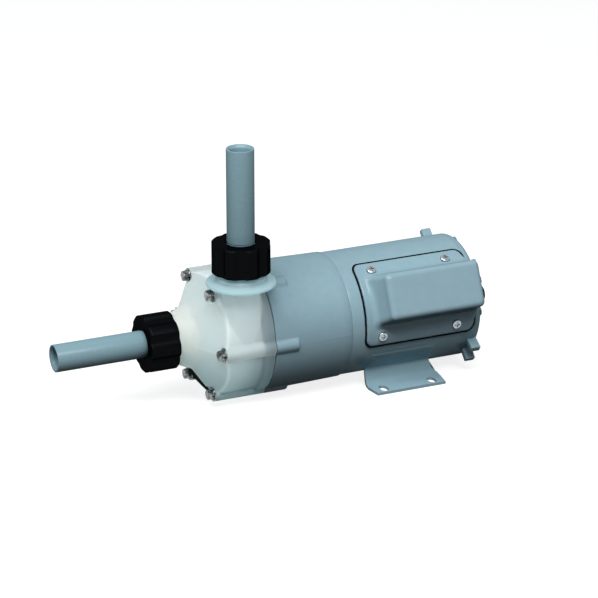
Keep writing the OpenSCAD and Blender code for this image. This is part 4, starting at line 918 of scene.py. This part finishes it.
# %% Forked lugs
def soft_block(clock, x, y, z, edge=0.5):
    """A block between pairs of x, y and z in the frame at a clock angle, with its long edges and its top
    rounded off."""
    rows = []
    for h, i in ((z[0], 0), (z[1] - edge, 0), (z[1] - 0.3 * edge, 0.3 * edge), (z[1], edge)):
        outline = round_rectangle(x[0] + i, x[1] - i, y[0] + i, y[1] - i, edge, along=1, corner=4)
        rows.append(at_clock(outline[:, 0], outline[:, 1], np.full(len(outline), h), clock))
    return skin(np.stack(rows), ring=False)


PRONG, LUG_TOP = (-2.5, 2.5), 60.2
BARE_LUG = 52.5         # the lug beside the terminal plate, which has nothing over the barrel
lugs = []
for lug in (-52.5, BARE_LUG, 127.5, -127.5):
    for prong in (lug - 7.5, lug + 7.5):
        lugs.append(soft_block(prong, PRONG, (60.02, 63.5), (44.6, LUG_TOP)))
        if lug != BARE_LUG:
            lugs.append(soft_block(prong, PRONG, (55.3, 61.0), (50.4, LUG_TOP)))
piece("rear_lugs", lugs, "pump_body", "painted_casting", "rear_cover")

# %% Tie screw heads, painted over with the cover
head_r, head_s = profile([
    (2.0, -12), (2.0, 0.02), (3.6, 0.02), (3.75, 0.4), (3.5, 0.8), (2.6, 1.15), (1.2, 1.3), (0.3, 1.3)])
t = np.radians(np.arange(48)[None, :] * 7.5)
head = np.stack(np.broadcast_arrays(head_r * np.cos(t), head_s, head_r * np.sin(t)), axis=-1)
tie_heads = [skin(middle + head, ring=False) for middle in ties]
piece("tie_screw_heads", tie_heads, "pump_body", "painted_casting", "tie_bolts")

# %% [markdown]
# ## Feet
# Each foot is a strip of sheet: a flange on the floor, a round bend, a short leg and a strip that is welded
# flush to the barrel and already stands in its skin. A path through the middle of the sheet is bent first.
# The two faces are half a thickness either side of it, and the length along the motor shrinks from the flange
# to the leg. The slots are cut last.

# %% Feet
SHEET, STRIP_T = 2.3, 1.0       # sheet thickness, and what is left of it in the barrel's skin
FLANGE_X, CORNER = 56.0, 2.4    # outer edge of the flange, and its corner radius
FLANGE_Y = (-32.0, 32.6)        # its two ends
STRIP_R = 49.9                  # middle of the strip, from the shaft
SLOT_X, SLOT_HALF = (43.0, 54.0), 3.25


def foot(side):
    """The sheet's section is the bent path moved out and in along its normals; rows run along the motor."""
    arc = np.radians(np.arange(140, 135, -2))
    corners = [(FLANGE_X, SHEET / 2, 0), (36.4, SHEET / 2, 6.5), (31.7, 13.3, 3.0)]
    corners += [(STRIP_R * np.sin(a), SHAFT_H + STRIP_R * np.cos(a), 0.8) for a in arc]
    path = soften(corners, 8)[7:-7]
    run = np.gradient(path, axis=0)
    normal = np.stack([-run[:, 1], run[:, 0]], axis=-1) / np.linalg.norm(run, axis=1, keepdims=True)
    half = np.interp(path[:, 1], [0, 10.5, 14.5], [SHEET, SHEET, STRIP_T])[:, None] / 2
    x, z = np.concatenate([path + normal * half, (path - normal * half)[::-1]]).T
    past = np.clip(x - (FLANGE_X - CORNER), 0, CORNER)
    round_off = CORNER - np.sqrt(CORNER**2 - past**2)
    up = np.clip((z - 2.0) / 7.0, 0, 1)
    front = FLANGE_Y[0] + round_off + 0.8 * up
    back = FLANGE_Y[1] - round_off - 5.8 * up * up * (3 - 2 * up)
    along = front + (back - front) * np.linspace(0, 1, 24)[:, None]
    return skin(np.stack(np.broadcast_arrays(side * x, along, z), axis=-1), ring=False)


def foot_slot(side, y):
    """A rounded slot from below the flange to above it, for the cut."""
    outline = round_rectangle(*SLOT_X, y - SLOT_HALF, y + SLOT_HALF, 3.2, along=2)
    ends = [np.broadcast_arrays(side * outline[:, 0], outline[:, 1], z) for z in (-2.0, 5.0)]
    return skin(np.stack([np.stack(end, axis=-1) for end in ends]), ring=False)


for name, side in (("right", 1), ("left", -1)):
    made = piece("sheet_foot_" + name, [foot(side)], "pump_body", "painted_sheet", "foot_" + name, sharp=50)
    cut_away(made, [foot_slot(side, y) for y in (-21.5, 21.5)], sharp=50)

# %% [markdown]
# ## Floor and light
# A product picture like this one is taken on white under a broad soft light from above. The light here is one
# long lamp overhead and a weak even fill, at a level where a colour renders about as it is written. The white
# is only what the camera, reflections and light through the casing see: for them the world is white, and the
# floor adds a glow to its shading, which leaves the shadow on it. To other rays the floor is a dark table.

# %% White floor
def seen_directly(tree):
    """1 for rays from the camera, in a reflection or through the casing, and 0 for all others."""
    path = add(tree, "LightPath").outputs
    seen = add(tree, "Math", {0: path["Is Camera Ray"], 1: path["Is Glossy Ray"]}, operation="MAXIMUM")
    seen = add(tree, "Math", {0: seen.outputs[0], 1: path["Is Transmission Ray"]}, operation="MAXIMUM")
    return seen.outputs[0]


floor_finish, tree, coords = new_finish("white_paper_floor")
fibre = add(tree, "TexNoise", {"Vector": coords, "Scale": per_metre(6.0)})
paper_bump = add(tree, "Bump", {"Height": fibre.outputs["Fac"], "Strength": 0.1, "Distance": 0.00002})
paper = add(tree, "BsdfDiffuse", {"Color": linear("#a8a8a8"), "Normal": paper_bump.outputs[0]})
table = add(tree, "BsdfDiffuse", {"Color": linear("#303030"), "Normal": paper_bump.outputs[0]})
glow = add(tree, "Emission", {"Color": linear("#ffffff"), "Strength": 0.83})
bright = add(tree, "AddShader", {0: paper.outputs[0], 1: glow.outputs[0]})
shown = add(tree, "MixShader", {0: seen_directly(tree), 1: table.outputs[0], 2: bright.outputs[0]})
add(tree, "OutputMaterial", {"Surface": shown.outputs[0]})
floor_mesh = bpy.data.meshes.new("floor")
floor_mesh.from_pydata([(-30, -30, 0), (30, -30, 0), (30, 30, 0), (-30, 30, 0)], [], [(0, 1, 2, 3)])
floor = bpy.data.objects.new("floor", floor_mesh)
floor.data.materials.append(floor_finish)
scene.collection.objects.link(floor)
print("floor of", len(floor_mesh.polygons), "face")

# %% White room
world = bpy.data.worlds.new("white_room")
scene.world = world
world.use_nodes = True
tree = world.node_tree
tree.nodes.clear()
fill = add(tree, "Background", {"Color": linear("#e6f7fb"), "Strength": 0.13})
white = add(tree, "Background", {"Color": linear("#ffffff"), "Strength": 1.0})
room = add(tree, "MixShader", {0: seen_directly(tree), 1: fill.outputs[0], 2: white.outputs[0]})
add(tree, "OutputWorld", {"Surface": room.outputs[0]})
scene.view_settings.view_transform = "Standard"
print("room from", len(tree.nodes), "nodes")


# %% Lamp
def soft_lamp(name, place, wide, deep, power):
    """An oblong area lamp that looks at the pump, with its long side level."""
    lamp = bpy.data.lights.new(name, "AREA")
    lamp.shape, lamp.size, lamp.size_y, lamp.energy = "RECTANGLE", wide, deep, power
    hung = bpy.data.objects.new(name, lamp)
    hung.location = place
    hung.rotation_euler = (AIM - Vector(place)).to_track_quat("-Z", "Y").to_euler()
    scene.collection.objects.link(hung)
    print(name, "lamp of", power, "W")


soft_lamp("overhead", (0.76, -0.58, 1.50), 2.2, 0.6, 38.5)
